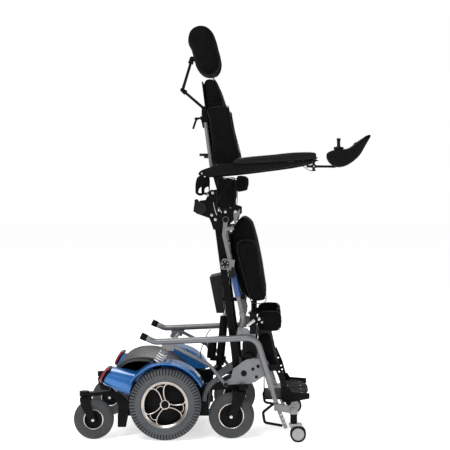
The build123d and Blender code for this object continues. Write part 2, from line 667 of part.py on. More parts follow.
# Backrest: plates, posts, shell and the carriers for the arms and the head support
with BuildPart() as back_frame:
    for side in SIDES:
        y = side * 187
        plate([(246, 994), (280, 998), (276, 1030), (222, 1212), (192, 1212), (244, 1030)], span(side, 182, 192))
        disc(RECLINE_PIVOT, 18, span(side, 182, 192))
        disc(RECLINE_PIVOT, 8 + PLAY, span(side, 181, 193), Mode.SUBTRACT)
        rod((202, y, 1180), (172, y, 1406), 8.5)
        block((152, 236), span(side, 190, 199), (1165, 1187))
        disc(ARM_PIVOT, 9, span(side, 190, 304))
        rod((186, 0, 1230), (195.6, y, 1230), 6)
        rod((166, 0, 1388), (174.5, y, 1388), 6)
        rod((190, y, 1261), (145, y, 1261), 6)
    plate([(202, 1206), (208, 1206), (159, 1592), (154, 1592)], (-176, 176))
    plate([(150, 1392), (184, 1392), (176, 1446), (138, 1446)], (-13, 13))
    disc(LEVER_PIVOT, 5, (12, 22))
    rod((169.9, 0, 1340), (150.6, 0, 1500), 7 + PLAY, Mode.SUBTRACT)
save(back_frame.part, "back_frame")

BACK_MAIN = [(212, 1209), (163, 1592), (178, 1610), (206, 1610), (233, 1561), (254, 1475), (262, 1387), (276, 1262),
             (278, 1212)]
BACK_WING = [(212, 1215), (186, 1420), (178, 1480), (240, 1500), (277, 1473), (297, 1387), (329, 1262), (322, 1225),
             (290, 1210)]
with BuildPart() as back_cushion:
    plate(BACK_MAIN, (-176, 176), radius=6)
    for side in SIDES:
        plate(BACK_WING, span(side, 174, 214), radius=6)
with BuildPart() as belt_loops:
    for side in SIDES:
        plate([(131, 1084), (150, 1076), (169, 1084), (171, 1160), (162, 1167), (150, 1167), (129, 1158)],
              span(side, 232, 242), radius=4)
        plate([(143, 1091), (163, 1091), (164, 1118), (147, 1109)], span(side, 230, 244), Mode.SUBTRACT)
save(Compound(children=[back_cushion.part, belt_loops.part]), "back_cushion")

# Head support: sliding post, two arms and the pad
with BuildPart() as head_carrier:
    rod((169.3, 0, 1345), (156.6, 0, 1450), 7)
    rod((156.9, 0, 1448), (156.2, 0, 1458), 9)
    for side in SIDES:
        plate([(144, 1450), (167, 1450), (162, 1488), (156, 1493), (145, 1488)], span(side, 10, 16))
    block((145, 167), (-16, 16), (1448, 1462))
    disc(HEAD_JOINT, 4, (-16, 16))
save(head_carrier.part, "head_carrier")


def hinge_arm(lower, upper, gap):
    """Arm with an eye at its lower joint and a clevis round the next one."""
    reach = math.dist(lower, upper)
    eye = (-9, 9)
    with BuildPart() as arm:
        disc(lower, 10, eye)
        low = along(lower, upper, 6)
        high = along(lower, upper, reach - gap)
        rod((low[0], 0, low[1]), (high[0], 0, high[1]), 6.5)
        disc(lower, 4 + PLAY, (-10, 10), Mode.SUBTRACT)
    return arm


lower_arm = hinge_arm(HEAD_JOINT, ELBOW, 18)
with lower_arm:
    band(along(HEAD_JOINT, ELBOW, 112), along(HEAD_JOINT, ELBOW, 120), 22, (-16, 16))
    for side in SIDES:
        band(along(HEAD_JOINT, ELBOW, 112), ELBOW, 20, span(side, 10, 16))
        disc(ELBOW, 10, span(side, 10, 16))
    disc(ELBOW, 4, (-16, 16))
save(lower_arm.part, "head_lower_arm")

upper_arm = hinge_arm(ELBOW, TILT_JOINT, 18)
with upper_arm:
    top = math.dist(ELBOW, TILT_JOINT)
    band(along(ELBOW, TILT_JOINT, top - 24), along(ELBOW, TILT_JOINT, top - 15), 22, (-16, 16))
    for side in SIDES:
        band(along(ELBOW, TILT_JOINT, top - 24), TILT_JOINT, 20, span(side, 10, 16))
        disc(TILT_JOINT, 10, span(side, 10, 16))
    disc(TILT_JOINT, 4, (-16, 16))
save(upper_arm.part, "head_upper_arm")

HEAD_OUTLINE = [(136, 1862), (92, 1836), (80, 1796), (92, 1766), (104, 1745), (112, 1712), (128, 1651),
                (153, 1629), (187, 1626), (226, 1646), (238, 1680), (224, 1746), (204, 1820), (170, 1853)]
with BuildPart() as headrest_pad:
    plate(HEAD_OUTLINE, (-120, 120), radius=5)
    rod((185.5, 0, 1890.4), (266.5, 0, 1601.6), 62, Mode.SUBTRACT)
    plate([(150, 1728), (92, 1724), (89, 1714), (99, 1704), (150, 1700)], (-9, 9))
    disc(TILT_JOINT, 10, (-9, 9))
    disc(TILT_JOINT, 4 + PLAY, (-10, 10), Mode.SUBTRACT)
save(headrest_pad.part, "headrest_pad")

with BuildPart() as clamp_lever:
    band(LEVER_PIVOT, (102, 1380), 10, (14, 20))
    disc(LEVER_PIVOT, 9, (14, 20))
    disc((102, 1380), 6, (12, 22))
    disc(LEVER_PIVOT, 5 + PLAY, (10, 24), Mode.SUBTRACT)
save(clamp_lever.part, "head_clamp_lever")


def armrest(side):
    """Flip-up arm: pad on a beam with a rear hinge bracket."""
    with BuildPart() as beam:
        plate([(150, 1164), (146, 1178), (162, 1192), (200, 1205), (240, 1217), (290, 1224), (293, 1210),
               (480, 1222), (666, 1237), (661, 1225), (577, 1207), (356, 1178), (200, 1162)],
              span(side, ARM_Y - 10, ARM_Y + 10))
        disc(ARM_PIVOT, 9 + PLAY, span(side, ARM_Y - 11, ARM_Y + 11), Mode.SUBTRACT)
        if side < 0:
            post((JOYSTICK_POST_X, side * ARM_Y), 6, (1190, 1228))
            post((JOYSTICK_POST_X, side * ARM_Y), 9, (1186, 1192))
    with BuildPart() as pad:
        plate([(293, 1210), (480, 1222), (668, 1237.2), (670, 1266), (650, 1272), (480, 1259), (310, 1244),
               (293, 1234)], span(side, ARM_Y - 28, ARM_Y + 28))
    return Compound(children=[beam.part, pad.part])


save(armrest(-1), "armrest_r")
save(armrest(1), "armrest_l")

PANEL_NORMAL = Vector(-0.563, 0, 0.826)
BUTTON_SEAT = Vector(838, -290, 1308)
HOUSING = [(712, 1266), (739, 1279), (804, 1285), (895, 1347), (907, 1341), (856, 1253), (798, 1208), (759, 1202),
           (722, 1222), (711, 1240)]
with BuildPart() as joystick_pod:
    plate(HOUSING, (-325, -255), radius=4)
    rod((623, -ARM_Y, 1207), (760, -ARM_Y, 1207), 5.5)
    post((JOYSTICK_POST_X, -ARM_Y), 11, (1200, 1215))
    post((JOYSTICK_POST_X, -ARM_Y), 6 + PLAY, (1192, 1217), Mode.SUBTRACT)
    post(STICK_PIVOT[:2], 14, (1260, 1300), Mode.SUBTRACT)
    rod((765, -306.1, STICK_PIVOT[2]), (765, -273.9, STICK_PIVOT[2]), 2 + PLAY, Mode.SUBTRACT)
    rod(tuple(BUTTON_SEAT - PANEL_NORMAL * 7), tuple(BUTTON_SEAT + PANEL_NORMAL * 12), 7.2, Mode.SUBTRACT)
save(joystick_pod.part, "joystick_pod")

with BuildPart() as joystick_gimbal:
    post(STICK_PIVOT[:2], 11.5, (STICK_PIVOT[2] - 3, STICK_PIVOT[2] + 3))
    rod((765, -306, STICK_PIVOT[2]), (765, -274, STICK_PIVOT[2]), 2)
    post(STICK_PIVOT[:2], 8, (STICK_PIVOT[2] - 4, STICK_PIVOT[2] + 4), Mode.SUBTRACT)
    rod((752, -290, STICK_PIVOT[2]), (778, -290, STICK_PIVOT[2]), 1.5 + PLAY, Mode.SUBTRACT)
save(joystick_gimbal.part, "joystick_gimbal")

with BuildPart() as joystick_stick:
    post(STICK_PIVOT[:2], 4, (STICK_PIVOT[2] - 4, 1330))
    rod((754.5, -290, STICK_PIVOT[2]), (775.5, -290, STICK_PIVOT[2]), 1.5)
    with BuildSketch(Plane.XZ.offset(290)) as skirt:
        with BuildLine():
            Polyline((765, 1291), (779, 1291), (771, 1302), (769, 1308), (774, 1318), (774, 1328), (770, 1331),
                     (765, 1331), close=True)
        make_face()
    revolve(skirt.sketch, axis=Axis((765, -290, 0), (0, 0, 1)))
save(joystick_stick.part, "joystick_stick")

with BuildPart() as power_button:
    rod(tuple(BUTTON_SEAT - PANEL_NORMAL * 4), tuple(BUTTON_SEAT + PANEL_NORMAL * 4), 7)
save(power_button.part, "power_button")
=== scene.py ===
"""Looks of the standing power wheelchair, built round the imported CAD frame. Metres, +X forward, +Z up."""
import json
import math

import bmesh
import bpy
import numpy as np
from mathutils import Matrix, Vector


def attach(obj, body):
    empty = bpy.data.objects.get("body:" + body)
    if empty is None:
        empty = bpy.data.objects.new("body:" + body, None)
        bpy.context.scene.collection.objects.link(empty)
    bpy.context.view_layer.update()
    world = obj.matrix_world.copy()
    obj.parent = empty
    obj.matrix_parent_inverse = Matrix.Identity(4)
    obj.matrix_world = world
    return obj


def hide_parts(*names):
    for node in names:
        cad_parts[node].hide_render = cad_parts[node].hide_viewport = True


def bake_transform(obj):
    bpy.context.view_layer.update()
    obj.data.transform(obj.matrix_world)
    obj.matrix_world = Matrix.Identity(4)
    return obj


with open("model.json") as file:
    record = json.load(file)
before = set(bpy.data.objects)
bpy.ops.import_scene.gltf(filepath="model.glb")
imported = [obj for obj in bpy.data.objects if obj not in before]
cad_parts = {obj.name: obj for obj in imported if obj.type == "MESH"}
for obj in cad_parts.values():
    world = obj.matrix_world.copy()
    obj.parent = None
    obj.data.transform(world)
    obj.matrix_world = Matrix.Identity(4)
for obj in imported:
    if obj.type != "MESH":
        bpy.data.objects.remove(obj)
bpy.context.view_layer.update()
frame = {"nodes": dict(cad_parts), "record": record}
NODES = frame["nodes"]
BODY_OF = {n: b for b, ns in frame["record"]["behaviour"]["bodies"].items() for n in ns}
SLOT_OF = {s["node"]: s["material_slot"] for s in frame["record"]["subparts"]}
MIDDLE_X = 0.25
MM = 0.001
SIDES = ((-1, "r"), (1, "l"))


# ---------------------------------------------------------------- materials
def new_material(name):
    m = bpy.data.materials.new(name)
    m.use_nodes = True
    tree = m.node_tree
    return m, tree, tree.nodes["Principled BSDF"]


def ramp(tree, source, low, high, c0, c1):
    """Colour ramp between two colours, driven by a factor socket."""
    r = tree.nodes.new("ShaderNodeValToRGB")
    r.color_ramp.elements[0].position = low
    r.color_ramp.elements[1].position = high
    r.color_ramp.elements[0].color = (*c0, 1)
    r.color_ramp.elements[1].color = (*c1, 1)
    tree.links.new(source, r.inputs[0])
    return r.outputs[0]


def noise(tree, coord, scale, detail=4.0, stretch=None, rough=0.55):
    n = tree.nodes.new("ShaderNodeTexNoise")
    n.inputs["Scale"].default_value = scale
    n.inputs["Detail"].default_value = detail
    n.inputs["Roughness"].default_value = rough
    if stretch:
        mp = tree.nodes.new("ShaderNodeMapping")
        mp.inputs["Scale"].default_value = stretch
        tree.links.new(coord, mp.inputs[0])
        coord = mp.outputs[0]
    tree.links.new(coord, n.inputs["Vector"])
    return n.outputs["Fac"]


def add_bump(tree, bsdf, height, strength, distance, previous=None):
    b = tree.nodes.new("ShaderNodeBump")
    b.inputs["Strength"].default_value = strength
    b.inputs["Distance"].default_value = distance
    tree.links.new(height, b.inputs["Height"])
    if previous:
        tree.links.new(previous, b.inputs["Normal"])
    tree.links.new(b.outputs[0], bsdf.inputs["Normal"])
    return b.outputs[0]


def shade(c, k):
    return tuple(min(1.0, v * k) for v in c)


def surface(name, colour, rough, metal=0.0, grain=900.0, grain_bump=0.15, spread=0.25, coat=0.0, wear=None,
            stretch=None, spec=0.5):
    """Coloured surface with tone changes, uneven gloss, a fine grain and optional worn patches."""
    m, tree, bsdf = new_material(name)
    coord = tree.nodes.new("ShaderNodeTexCoord").outputs["Object"]
    broad = noise(tree, coord, 9.0, 5.0)
    colour_out = ramp(tree, broad, 0.3, 0.72, shade(colour, 1 - spread), shade(colour, 1 + spread))
    if wear:
        patches = noise(tree, coord, 38.0, 8.0, rough=0.7)
        mask = ramp(tree, patches, 0.62, 0.74, (0, 0, 0), (1, 1, 1))
        mix = tree.nodes.new("ShaderNodeMix")
        mix.data_type = "RGBA"
        tree.links.new(mask, mix.inputs["Factor"])
        tree.links.new(colour_out, mix.inputs[6])
        mix.inputs[7].default_value = (*wear, 1)
        colour_out = mix.outputs[2]
    tree.links.new(colour_out, bsdf.inputs["Base Color"])
    fine = noise(tree, coord, grain, 3.0, stretch)
    gloss = ramp(tree, noise(tree, coord, 26.0, 4.0), 0.3, 0.75, (rough * 0.85,) * 3, (min(1, rough * 1.2),) * 3)
    tree.links.new(gloss, bsdf.inputs["Roughness"])
    add_bump(tree, bsdf, fine, grain_bump, 0.0006)
    bsdf.inputs["Metallic"].default_value = metal
    bsdf.inputs["Coat Weight"].default_value = coat
    bsdf.inputs["Coat Roughness"].default_value = 0.12
    bsdf.inputs["Specular IOR Level"].default_value = spec
    return m


def woven(name, colour, rough=0.85, scale=420.0, sheen=0.015, creases=0.35):
    """Cloth: crossed threads, soft creases and lint-light tone changes."""
    m, tree, bsdf = new_material(name)
    coord = tree.nodes.new("ShaderNodeTexCoord").outputs["Object"]
    waves = []
    for axis in ("X", "Y", "Z"):
        w = tree.nodes.new("ShaderNodeTexWave")
        w.bands_direction = axis
        w.inputs["Scale"].default_value = scale
        w.inputs["Distortion"].default_value = 0.6
        tree.links.new(coord, w.inputs["Vector"])
        waves.append(w.outputs["Fac"])
    total = waves[0]
    for w in waves[1:]:
        mul = tree.nodes.new("ShaderNodeMath")
        mul.operation = "MULTIPLY"
        tree.links.new(total, mul.inputs[0])
        tree.links.new(w, mul.inputs[1])
        total = mul.outputs[0]
    crease = noise(tree, coord, 16.0, 6.0, rough=0.6)
    colour_out = ramp(tree, noise(tree, coord, 30.0, 6.0), 0.35, 0.75, shade(colour, 0.7), shade(colour, 1.5))
    tree.links.new(colour_out, bsdf.inputs["Base Color"])
    first = add_bump(tree, bsdf, crease, creases, 0.006)
    add_bump(tree, bsdf, total, 0.35, 0.0008, first)
    bsdf.inputs["Roughness"].default_value = rough
    bsdf.inputs["Sheen Weight"].default_value = sheen
    bsdf.inputs["Specular IOR Level"].default_value = 0.08
    bsdf.inputs["Sheen Roughness"].default_value = 0.45
    return m


MATS = {
    "black_steel": surface("m_black_steel", (0.0032, 0.0032, 0.0036), 0.42, 0.0, 1400, 0.12, 0.35, 0.0,
                           (0.012, 0.012, 0.013), spec=0.1),
    "black_plastic": surface("m_black_plastic", (0.0032, 0.0032, 0.0036), 0.5, 0.0, 1800, 0.25, 0.3, spec=0.1),
    "grey_plastic": surface("m_grey_plastic", (0.06, 0.058, 0.057), 0.5, 0.0, 1500, 0.25, 0.12, 0.0,
                            (0.08, 0.078, 0.076)),
    "blue_paint": surface("m_blue_paint", (0.012, 0.135, 0.42), 0.26, 0.2, 3000, 0.0, 0.07, 0.6),
    "red_lens": surface("m_red_lens", (0.3, 0.005, 0.018), 0.16, 0.0, 300, 0.1, 0.3, 0.9),
    "silver_paint": surface("m_silver_paint", (0.185, 0.19, 0.198), 0.38, 0.55, 2200, 0.06, 0.09, 0.3),
    "bright_steel": surface("m_bright_steel", (0.6, 0.6, 0.61), 0.3, 0.95, 700, 0.12, 0.1, 0.0, None, (1, 18, 1)),
    "black_fabric": woven("m_black_fabric", (0.0026, 0.0026, 0.003)),
    "grey_tyre": surface("m_grey_tyre", (0.07, 0.076, 0.082), 0.75, 0.0, 700, 0.3, 0.16, 0.0, (0.11, 0.11, 0.108)),
    "rim_metal": surface("m_rim_metal", (0.62, 0.57, 0.53), 0.25, 0.95, 500, 0.08, 0.14, 0.2, None, (1, 14, 1)),
    "black_rubber": surface("m_black_rubber", (0.0045, 0.0045, 0.005), 0.62, 0.0, 1100, 0.25, 0.3, spec=0.12),
}
SLEEVE_BLUE = surface("m_sleeve_blue", (0.008, 0.05, 0.19), 0.3, 0.3, 2600, 0.04, 0.08, 0.5)
CASTER_TYRE = surface("m_caster_tyre", (0.04, 0.043, 0.045), 0.78, 0.0, 700, 0.3, 0.18, 0.0, (0.06, 0.06, 0.059))
BRONZE = surface("m_bronze_lip", (0.36, 0.27, 0.2), 0.3, 0.9, 500, 0.08, 0.2, 0.2)
# Painted shade: a darker tyre colour for the tread slot faces, standing in for the shade down in the gaps
TREAD_GAP_SHADE = surface("m_tread_gap_painted_shade", (0.016, 0.017, 0.018), 0.85, 0.0, 700, 0.3, 0.2)
RIM_FACE = surface("m_rim_face", (0.48, 0.44, 0.41), 0.26, 0.95, 500, 0.06, 0.22, 0.2, (0.4, 0.3, 0.22))
GUNMETAL = surface("m_silver_plate", (0.235, 0.24, 0.25), 0.42, 0.45, 1800, 0.08, 0.1, 0.15)
LIGHT_GREY = surface("m_light_grey", (0.34, 0.34, 0.34), 0.45, 0.0, 1500, 0.15, 0.08)
DARK_PLASTIC = surface("m_dark_plastic", (0.011, 0.011, 0.012), 0.5, 0.0, 1500, 0.3, 0.3, spec=0.1)
SCREEN = surface("m_screen", (0.16, 0.18, 0.2), 0.14, 0.0, 900, 0.03, 0.3, 0.6)
SPRING_WHITE = surface("m_spring", (0.72, 0.72, 0.74), 0.28, 0.25, 900, 0.05, 0.08, 0.6)
PIPING = woven("m_piping", (0.012, 0.012, 0.013), 0.7, 700, 0.1, 0.1)
VINYL = surface("m_vinyl", (0.0034, 0.0034, 0.004), 0.44, 0.0, 260, 0.35, 0.3, 0.0, spec=0.14)


# ---------------------------------------------------------------- mesh helpers
def to_shared_frame(obj):
    """Pieces are drawn about the drive axle; the shared frame's origin is MIDDLE_X ahead of it."""
    obj.data.transform(Matrix.Translation((-MIDDLE_X, 0, 0)))


def finish_piece(obj, node, body=None, material=None, smooth=40.0):
    """Places a piece and gives it its material (by default the one of its node's slot), shading and body."""
    to_shared_frame(obj)
    if material is None:
        material = MATS[SLOT_OF[node]]
    obj.data.materials.clear()
    obj.data.materials.append(material)
    if obj.type == "MESH":
        shade_smooth(obj, smooth)
    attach(obj, body or BODY_OF[node])
    return obj


def shade_smooth(obj, angle=40.0):
    bm = bmesh.new()
    bm.from_mesh(obj.data)
    limit = math.radians(angle)
    for f in bm.faces:
        f.smooth = True
    for e in bm.edges:
        e.smooth = len(e.link_faces) == 2 and e.calc_face_angle(0.0) < limit
    bm.to_mesh(obj.data)
    bm.free()


def mesh_object(name, verts, faces):
    me = bpy.data.meshes.new(name)
    me.from_pydata([tuple(v) for v in verts], [], faces)
    me.update()
    o = bpy.data.objects.new(name, me)
    bpy.context.scene.collection.objects.link(o)
    return o


def smooth_outline(points, steps=4, closed=True):
    """Catmull-Rom curve through the points."""
    out = []
    n = len(points)
    for i in range(n if closed else n - 1):
        if closed:
            p = [points[(i + k - 1) % n] for k in range(4)]
        else:
            p = [points[max(0, min(n - 1, i + k - 1))] for k in range(4)]
        for s in range(steps):
            t = s / steps
            out.append(tuple(
                0.5 * (2 * p[1][a] + (p[2][a] - p[0][a]) * t
                       + (2 * p[0][a] - 5 * p[1][a] + 4 * p[2][a] - p[3][a]) * t * t
                       + (3 * p[1][a] - p[0][a] - 3 * p[2][a] + p[3][a]) * t ** 3) for a in range(len(p[0]))))
    if not closed:
        out.append(tuple(points[-1]))
    return out


def area(points):
    return sum(points[i - 1][0] * points[i][1] - points[i][0] * points[i - 1][1] for i in range(len(points))) / 2


def inset(points, distance):
    """Outline moved inwards, by edge normals."""
    if area(points) < 0:
        points = points[::-1]
    out = []
    n = len(points)
    for i in range(n):
        a, b, c = Vector(points[i - 1]), Vector(points[i]), Vector(points[(i + 1) % n])
        u, v = (b - a).normalized(), (c - b).normalized()
        nu, nv = Vector((-u.y, u.x)), Vector((-v.y, v.x))
        k = (nu + nv)
        k = k / max(0.35, k.dot(nu)) if k.length > 1e-6 else nu
        out.append(tuple(b + k * distance))
    return out


def rounded_prism(name, outline, y0, y1, edge=4.0, steps=4):
    """Side-view outline (mm) carried across from y0 to y1 with rounded rims."""
    if area(outline) < 0:
        outline = outline[::-1]
    edge = min(edge, abs(y1 - y0) / 2 - 0.01)
    profile = []
    for i in range(steps + 1):
        a = math.pi / 2 * i / steps
        profile.append((y0 + edge * (1 - math.cos(a)), edge * (1 - math.sin(a))))
    profile += [(y1 - (y - y0), d) for y, d in reversed(profile)]
    verts, faces = [], []
    n = len(outline)
    for y, d in profile:
        for x, z in (inset(outline, d) if d > 1e-6 else outline):
            verts.append((x * MM, y * MM, z * MM))
    for r in range(len(profile) - 1):
        for i in range(n):
            j = (i + 1) % n
            faces.append((r * n + i, r * n + j, (r + 1) * n + j, (r + 1) * n + i))
    faces.append(tuple(range(n - 1, -1, -1)))
    faces.append(tuple((len(profile) - 1) * n + i for i in range(n)))
    o = mesh_object(name, verts, faces)
    bm = bmesh.new()
    bm.from_mesh(o.data)
    bmesh.ops.recalc_face_normals(bm, faces=bm.faces)
    bm.to_mesh(o.data)
    bm.free()
    return o


def lathe(name, centre, y, profile, segments=96, shape=None, start=0.0, end=360.0):
    """Profile of (radius, offset) pairs (mm) turned about a crosswise axle; shape changes a point's radius."""
    full = abs(end - start - 360) < 1e-6
    count = segments if full else segments + 1
    verts, faces = [], []
    n = len(profile)
    for s in range(count):
        a = math.radians(start + (end - start) * s / segments)
        for k, (r, w) in enumerate(profile):
            rr, ww = shape(s, r, w) if shape else (r, w)
            verts.append(((centre[0] + rr * math.cos(a)) * MM, (y + ww) * MM, (centre[1] + rr * math.sin(a)) * MM))
    for s in range(segments):
        t = (s + 1) % count
        for k in range(n):
            j = (k + 1) % n
            faces.append((s * n + k, s * n + j, t * n + j, t * n + k))
    if not full:
        faces.append(tuple(range(n)))
        faces.append(tuple((count - 1) * n + k for k in range(n - 1, -1, -1)))
    o = mesh_object(name, verts, faces)
    bm = bmesh.new()
    bm.from_mesh(o.data)
    bmesh.ops.remove_doubles(bm, verts=bm.verts, dist=1e-6)
    bmesh.ops.recalc_face_normals(bm, faces=bm.faces)
    bm.to_mesh(o.data)
    bm.free()
    return o


def round_profile(points, steps=3):
    return smooth_outline(points, steps)


def tube(name, points, radius, resolution=8, closed=False, smooth=True, sides=16):
    """Round bar along points (mm), as a mesh."""
    pts = smooth_outline(points, resolution, closed) if smooth and len(points) > 2 else list(points)
    pts = [Vector(p) for p in pts]
    n = len(pts)
    verts, faces = [], []
    up = Vector((0, 1, 0))
    for i, p in enumerate(pts):
        if closed:
            t = (pts[(i + 1) % n] - pts[i - 1]).normalized()
        else:
            t = (pts[min(n - 1, i + 1)] - pts[max(0, i - 1)]).normalized()
        side = up.cross(t)
        if side.length < 1e-3:
            side = Vector((1, 0, 0)).cross(t)
        side.normalize()
        up = t.cross(side).normalized()
        for k in range(sides):
            a = 2 * math.pi * k / sides
            q = p + (side * math.cos(a) + up * math.sin(a)) * radius
            verts.append(tuple(q * MM))
    rows = n if closed else n - 1
    for i in range(rows):
        j = (i + 1) % n
        for k in range(sides):
            m = (k + 1) % sides
            faces.append((i * sides + k, i * sides + m, j * sides + m, j * sides + k))
    if not closed:
        faces.append(tuple(range(sides)))
        faces.append(tuple((n - 1) * sides + k for k in range(sides - 1, -1, -1)))
    return mesh_object(name, verts, faces)


def join(name, objects):
    """Several meshes as one piece."""
    bm = bmesh.new()
    for o in objects:
        bm.from_mesh(o.data)
    me = bpy.data.meshes.new(name)
    bm.to_mesh(me)
    bm.free()
    for o in objects:
        bpy.data.objects.remove(o)
    new = bpy.data.objects.new(name, me)
    bpy.context.scene.collection.objects.link(new)
    return new


def disc_piece(centre, radius, y0, y1, edge=1.0, segments=40):
    """Rounded cylinder lying across the chair."""
    e = min(edge, abs(y1 - y0) / 2.1)
    half = (y1 - y0) / 2
    mid = (y0 + y1) / 2
    prof = [(0.0, -half), (radius - e, -half), (radius - e * 0.3, -half + e * 0.3), (radius, -half + e),
            (radius, half - e), (radius - e * 0.3, half - e * 0.3), (radius - e, half), (0.0, half)]
    return lathe("disc", centre, mid, prof, segments)


def hexagon(centre, radius, y0, y1, turn=0.0):
    """Hexagon bolt head."""
    out = [(centre[0] + radius * math.cos(math.radians(60 * k + turn)),
            centre[1] + radius * math.sin(math.radians(60 * k + turn))) for k in range(6)]
    return rounded_prism("hex", out, min(y0, y1), max(y0, y1), 0.8, 2)


def span(side, inner, outer):
    return (inner, outer) if side > 0 else (-outer, -inner)


def along(a, b, distance, offset=0.0):
    length = math.dist(a, b)
    ux, uz = (b[0] - a[0]) / length, (b[1] - a[1]) / length
    return (a[0] + ux * distance - uz * offset, a[1] + uz * distance + ux * offset)


def replace(obj, *nodes):
    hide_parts(*nodes)
    return obj


def even_ring(points, count):
    """Smoothed closed outline with evenly spaced points by angle about its middle."""
    dense = smooth_outline(points, 12)
    cx = sum(p[0] for p in dense) / len(dense)
    cz = sum(p[1] for p in dense) / len(dense)
    out = []
    for k in range(count):
        want = -math.pi + 2 * math.pi * k / count
        best = min(dense, key=lambda p: abs(math.remainder(math.atan2(p[1] - cz, p[0] - cx) - want, 2 * math.pi)))
        out.append(best)
    return out


# ---------------------------------------------------------------- soft goods
def crowned(name, outline, y0, y1, edge, voxel, swell, pull=3.0, frames=20):
    """Padded form: rounded block, remeshed, blown up by a cloth simulation and held to a largest swell."""
    grown = inset(outline, pull)
    o = rounded_prism(name, grown, y0 + pull, y1 - pull, edge, 5)
    remesh = o.modifiers.new("remesh", "REMESH")
    remesh.mode = "VOXEL"
    remesh.voxel_size = voxel * MM
    apply_modifiers(o)
    rest = np.array([v.co for v in o.data.vertices])
    cloth = o.modifiers.new("cloth", "CLOTH")
    cloth.settings.quality = 4
    cloth.settings.mass = 0.3
    cloth.settings.tension_stiffness = 12
    cloth.settings.compression_stiffness = 12
    cloth.settings.bending_stiffness = 0.6
    cloth.settings.use_pressure = True
    cloth.settings.uniform_pressure_force = 4.0
    cloth.settings.effector_weights.gravity = 0.0
    cloth.point_cache.frame_start = 1
    cloth.point_cache.frame_end = frames
    scene = bpy.context.scene
    for f in range(1, frames + 1):
        scene.frame_set(f)
    dg = bpy.context.evaluated_depsgraph_get()
    e = o.evaluated_get(dg)
    moved = np.array([v.co for v in e.data.vertices])
    o.modifiers.remove(cloth)
    scene.frame_set(1)
    if len(moved) == len(rest) and np.isfinite(moved).all():
        step = moved - rest
        length = np.linalg.norm(step, axis=1)
        scale = np.minimum(1.0, (swell * MM) / np.maximum(length, 1e-9))
        rest = rest + step * scale[:, None]
        o.data.vertices.foreach_set("co", rest.astype(np.float32).ravel())
        o.data.update()
    soft = o.modifiers.new("soft", "CORRECTIVE_SMOOTH")
    soft.use_only_smooth = True
    soft.iterations = 6
    soft.factor = 0.5
    sub = o.modifiers.new("sub", "SUBSURF")
    sub.levels = 1
    sub.render_levels = 1
    apply_modifiers(o)
    return o


def apply_modifiers(o):
    dg = bpy.context.evaluated_depsgraph_get()
    e = o.evaluated_get(dg)
    me = bpy.data.meshes.new_from_object(e)
    o.modifiers.clear()
    o.data = me


def press_channels(o, channels, depth):
    """Sewn channels: points near a plane (axis, place in mm, half width in mm) sink towards the pad's middle."""
    co = np.array([v.co for v in o.data.vertices])
    middle = co.mean(0)
    for (axis, place, half) in channels:
        direction = np.array(axis, float)
        direction /= np.linalg.norm(direction)
        d = np.abs(co @ direction - place * MM) / (half * MM)
        w = np.clip(1 - d, 0, 1) ** 2
        inward = middle - co
        inward -= np.outer(inward @ direction, direction)
        norm = np.linalg.norm(inward, axis=1)
        inward /= np.maximum(norm, 1e-6)[:, None]
        co += inward * (w * depth * MM)[:, None]
    o.data.vertices.foreach_set("co", co.astype(np.float32).ravel())
    o.data.update()


def pipings(node, outline, ys, radius, name, body=None, lift=0.0):
    """Sewn piping round an outline at each side of a pad."""
    parts = []
    for y in ys:
        pts = [(x, y, z) for x, z in inset(outline, lift)]
        parts.append(tube("pipe", pts, radius, 3, True, True, 8))
    o = join(name, parts)
    finish_piece(o, node, body, PIPING)
    return o


# ---------------------------------------------------------------- CAD nodes that stay as they are
REPLACED = set()


def dress(node, material=None, other=None, test=None, width=0.8):
    """Keeps a CAD node, with rounded edges and its own material; faces that pass the test get the other one."""
    o = NODES[node]
    o.data.materials.clear()
    o.data.materials.append(material or MATS[SLOT_OF[node]])
    if other:
        o.data.materials.append(other)
        for f in o.data.polygons:
            c = f.center / MM
            f.material_index = 1 if test(c.x + MIDDLE_X / MM, abs(c.y), c.z) else 0
    weld = o.modifiers.new("weld", "WELD")
    weld.merge_threshold = 0.00001
    bevel = o.modifiers.new("bevel", "BEVEL")
    bevel.width = width * MM
    bevel.segments = 2
    bevel.limit_method = "ANGLE"
    bevel.angle_limit = math.radians(50)
    bevel.use_clamp_overlap = True
    return o


# ---------------------------------------------------------------- drive wheels
AXLE = (0.0, 159.0)
TIP_AXLE = (585.0, 35.0)
LUGS = 66


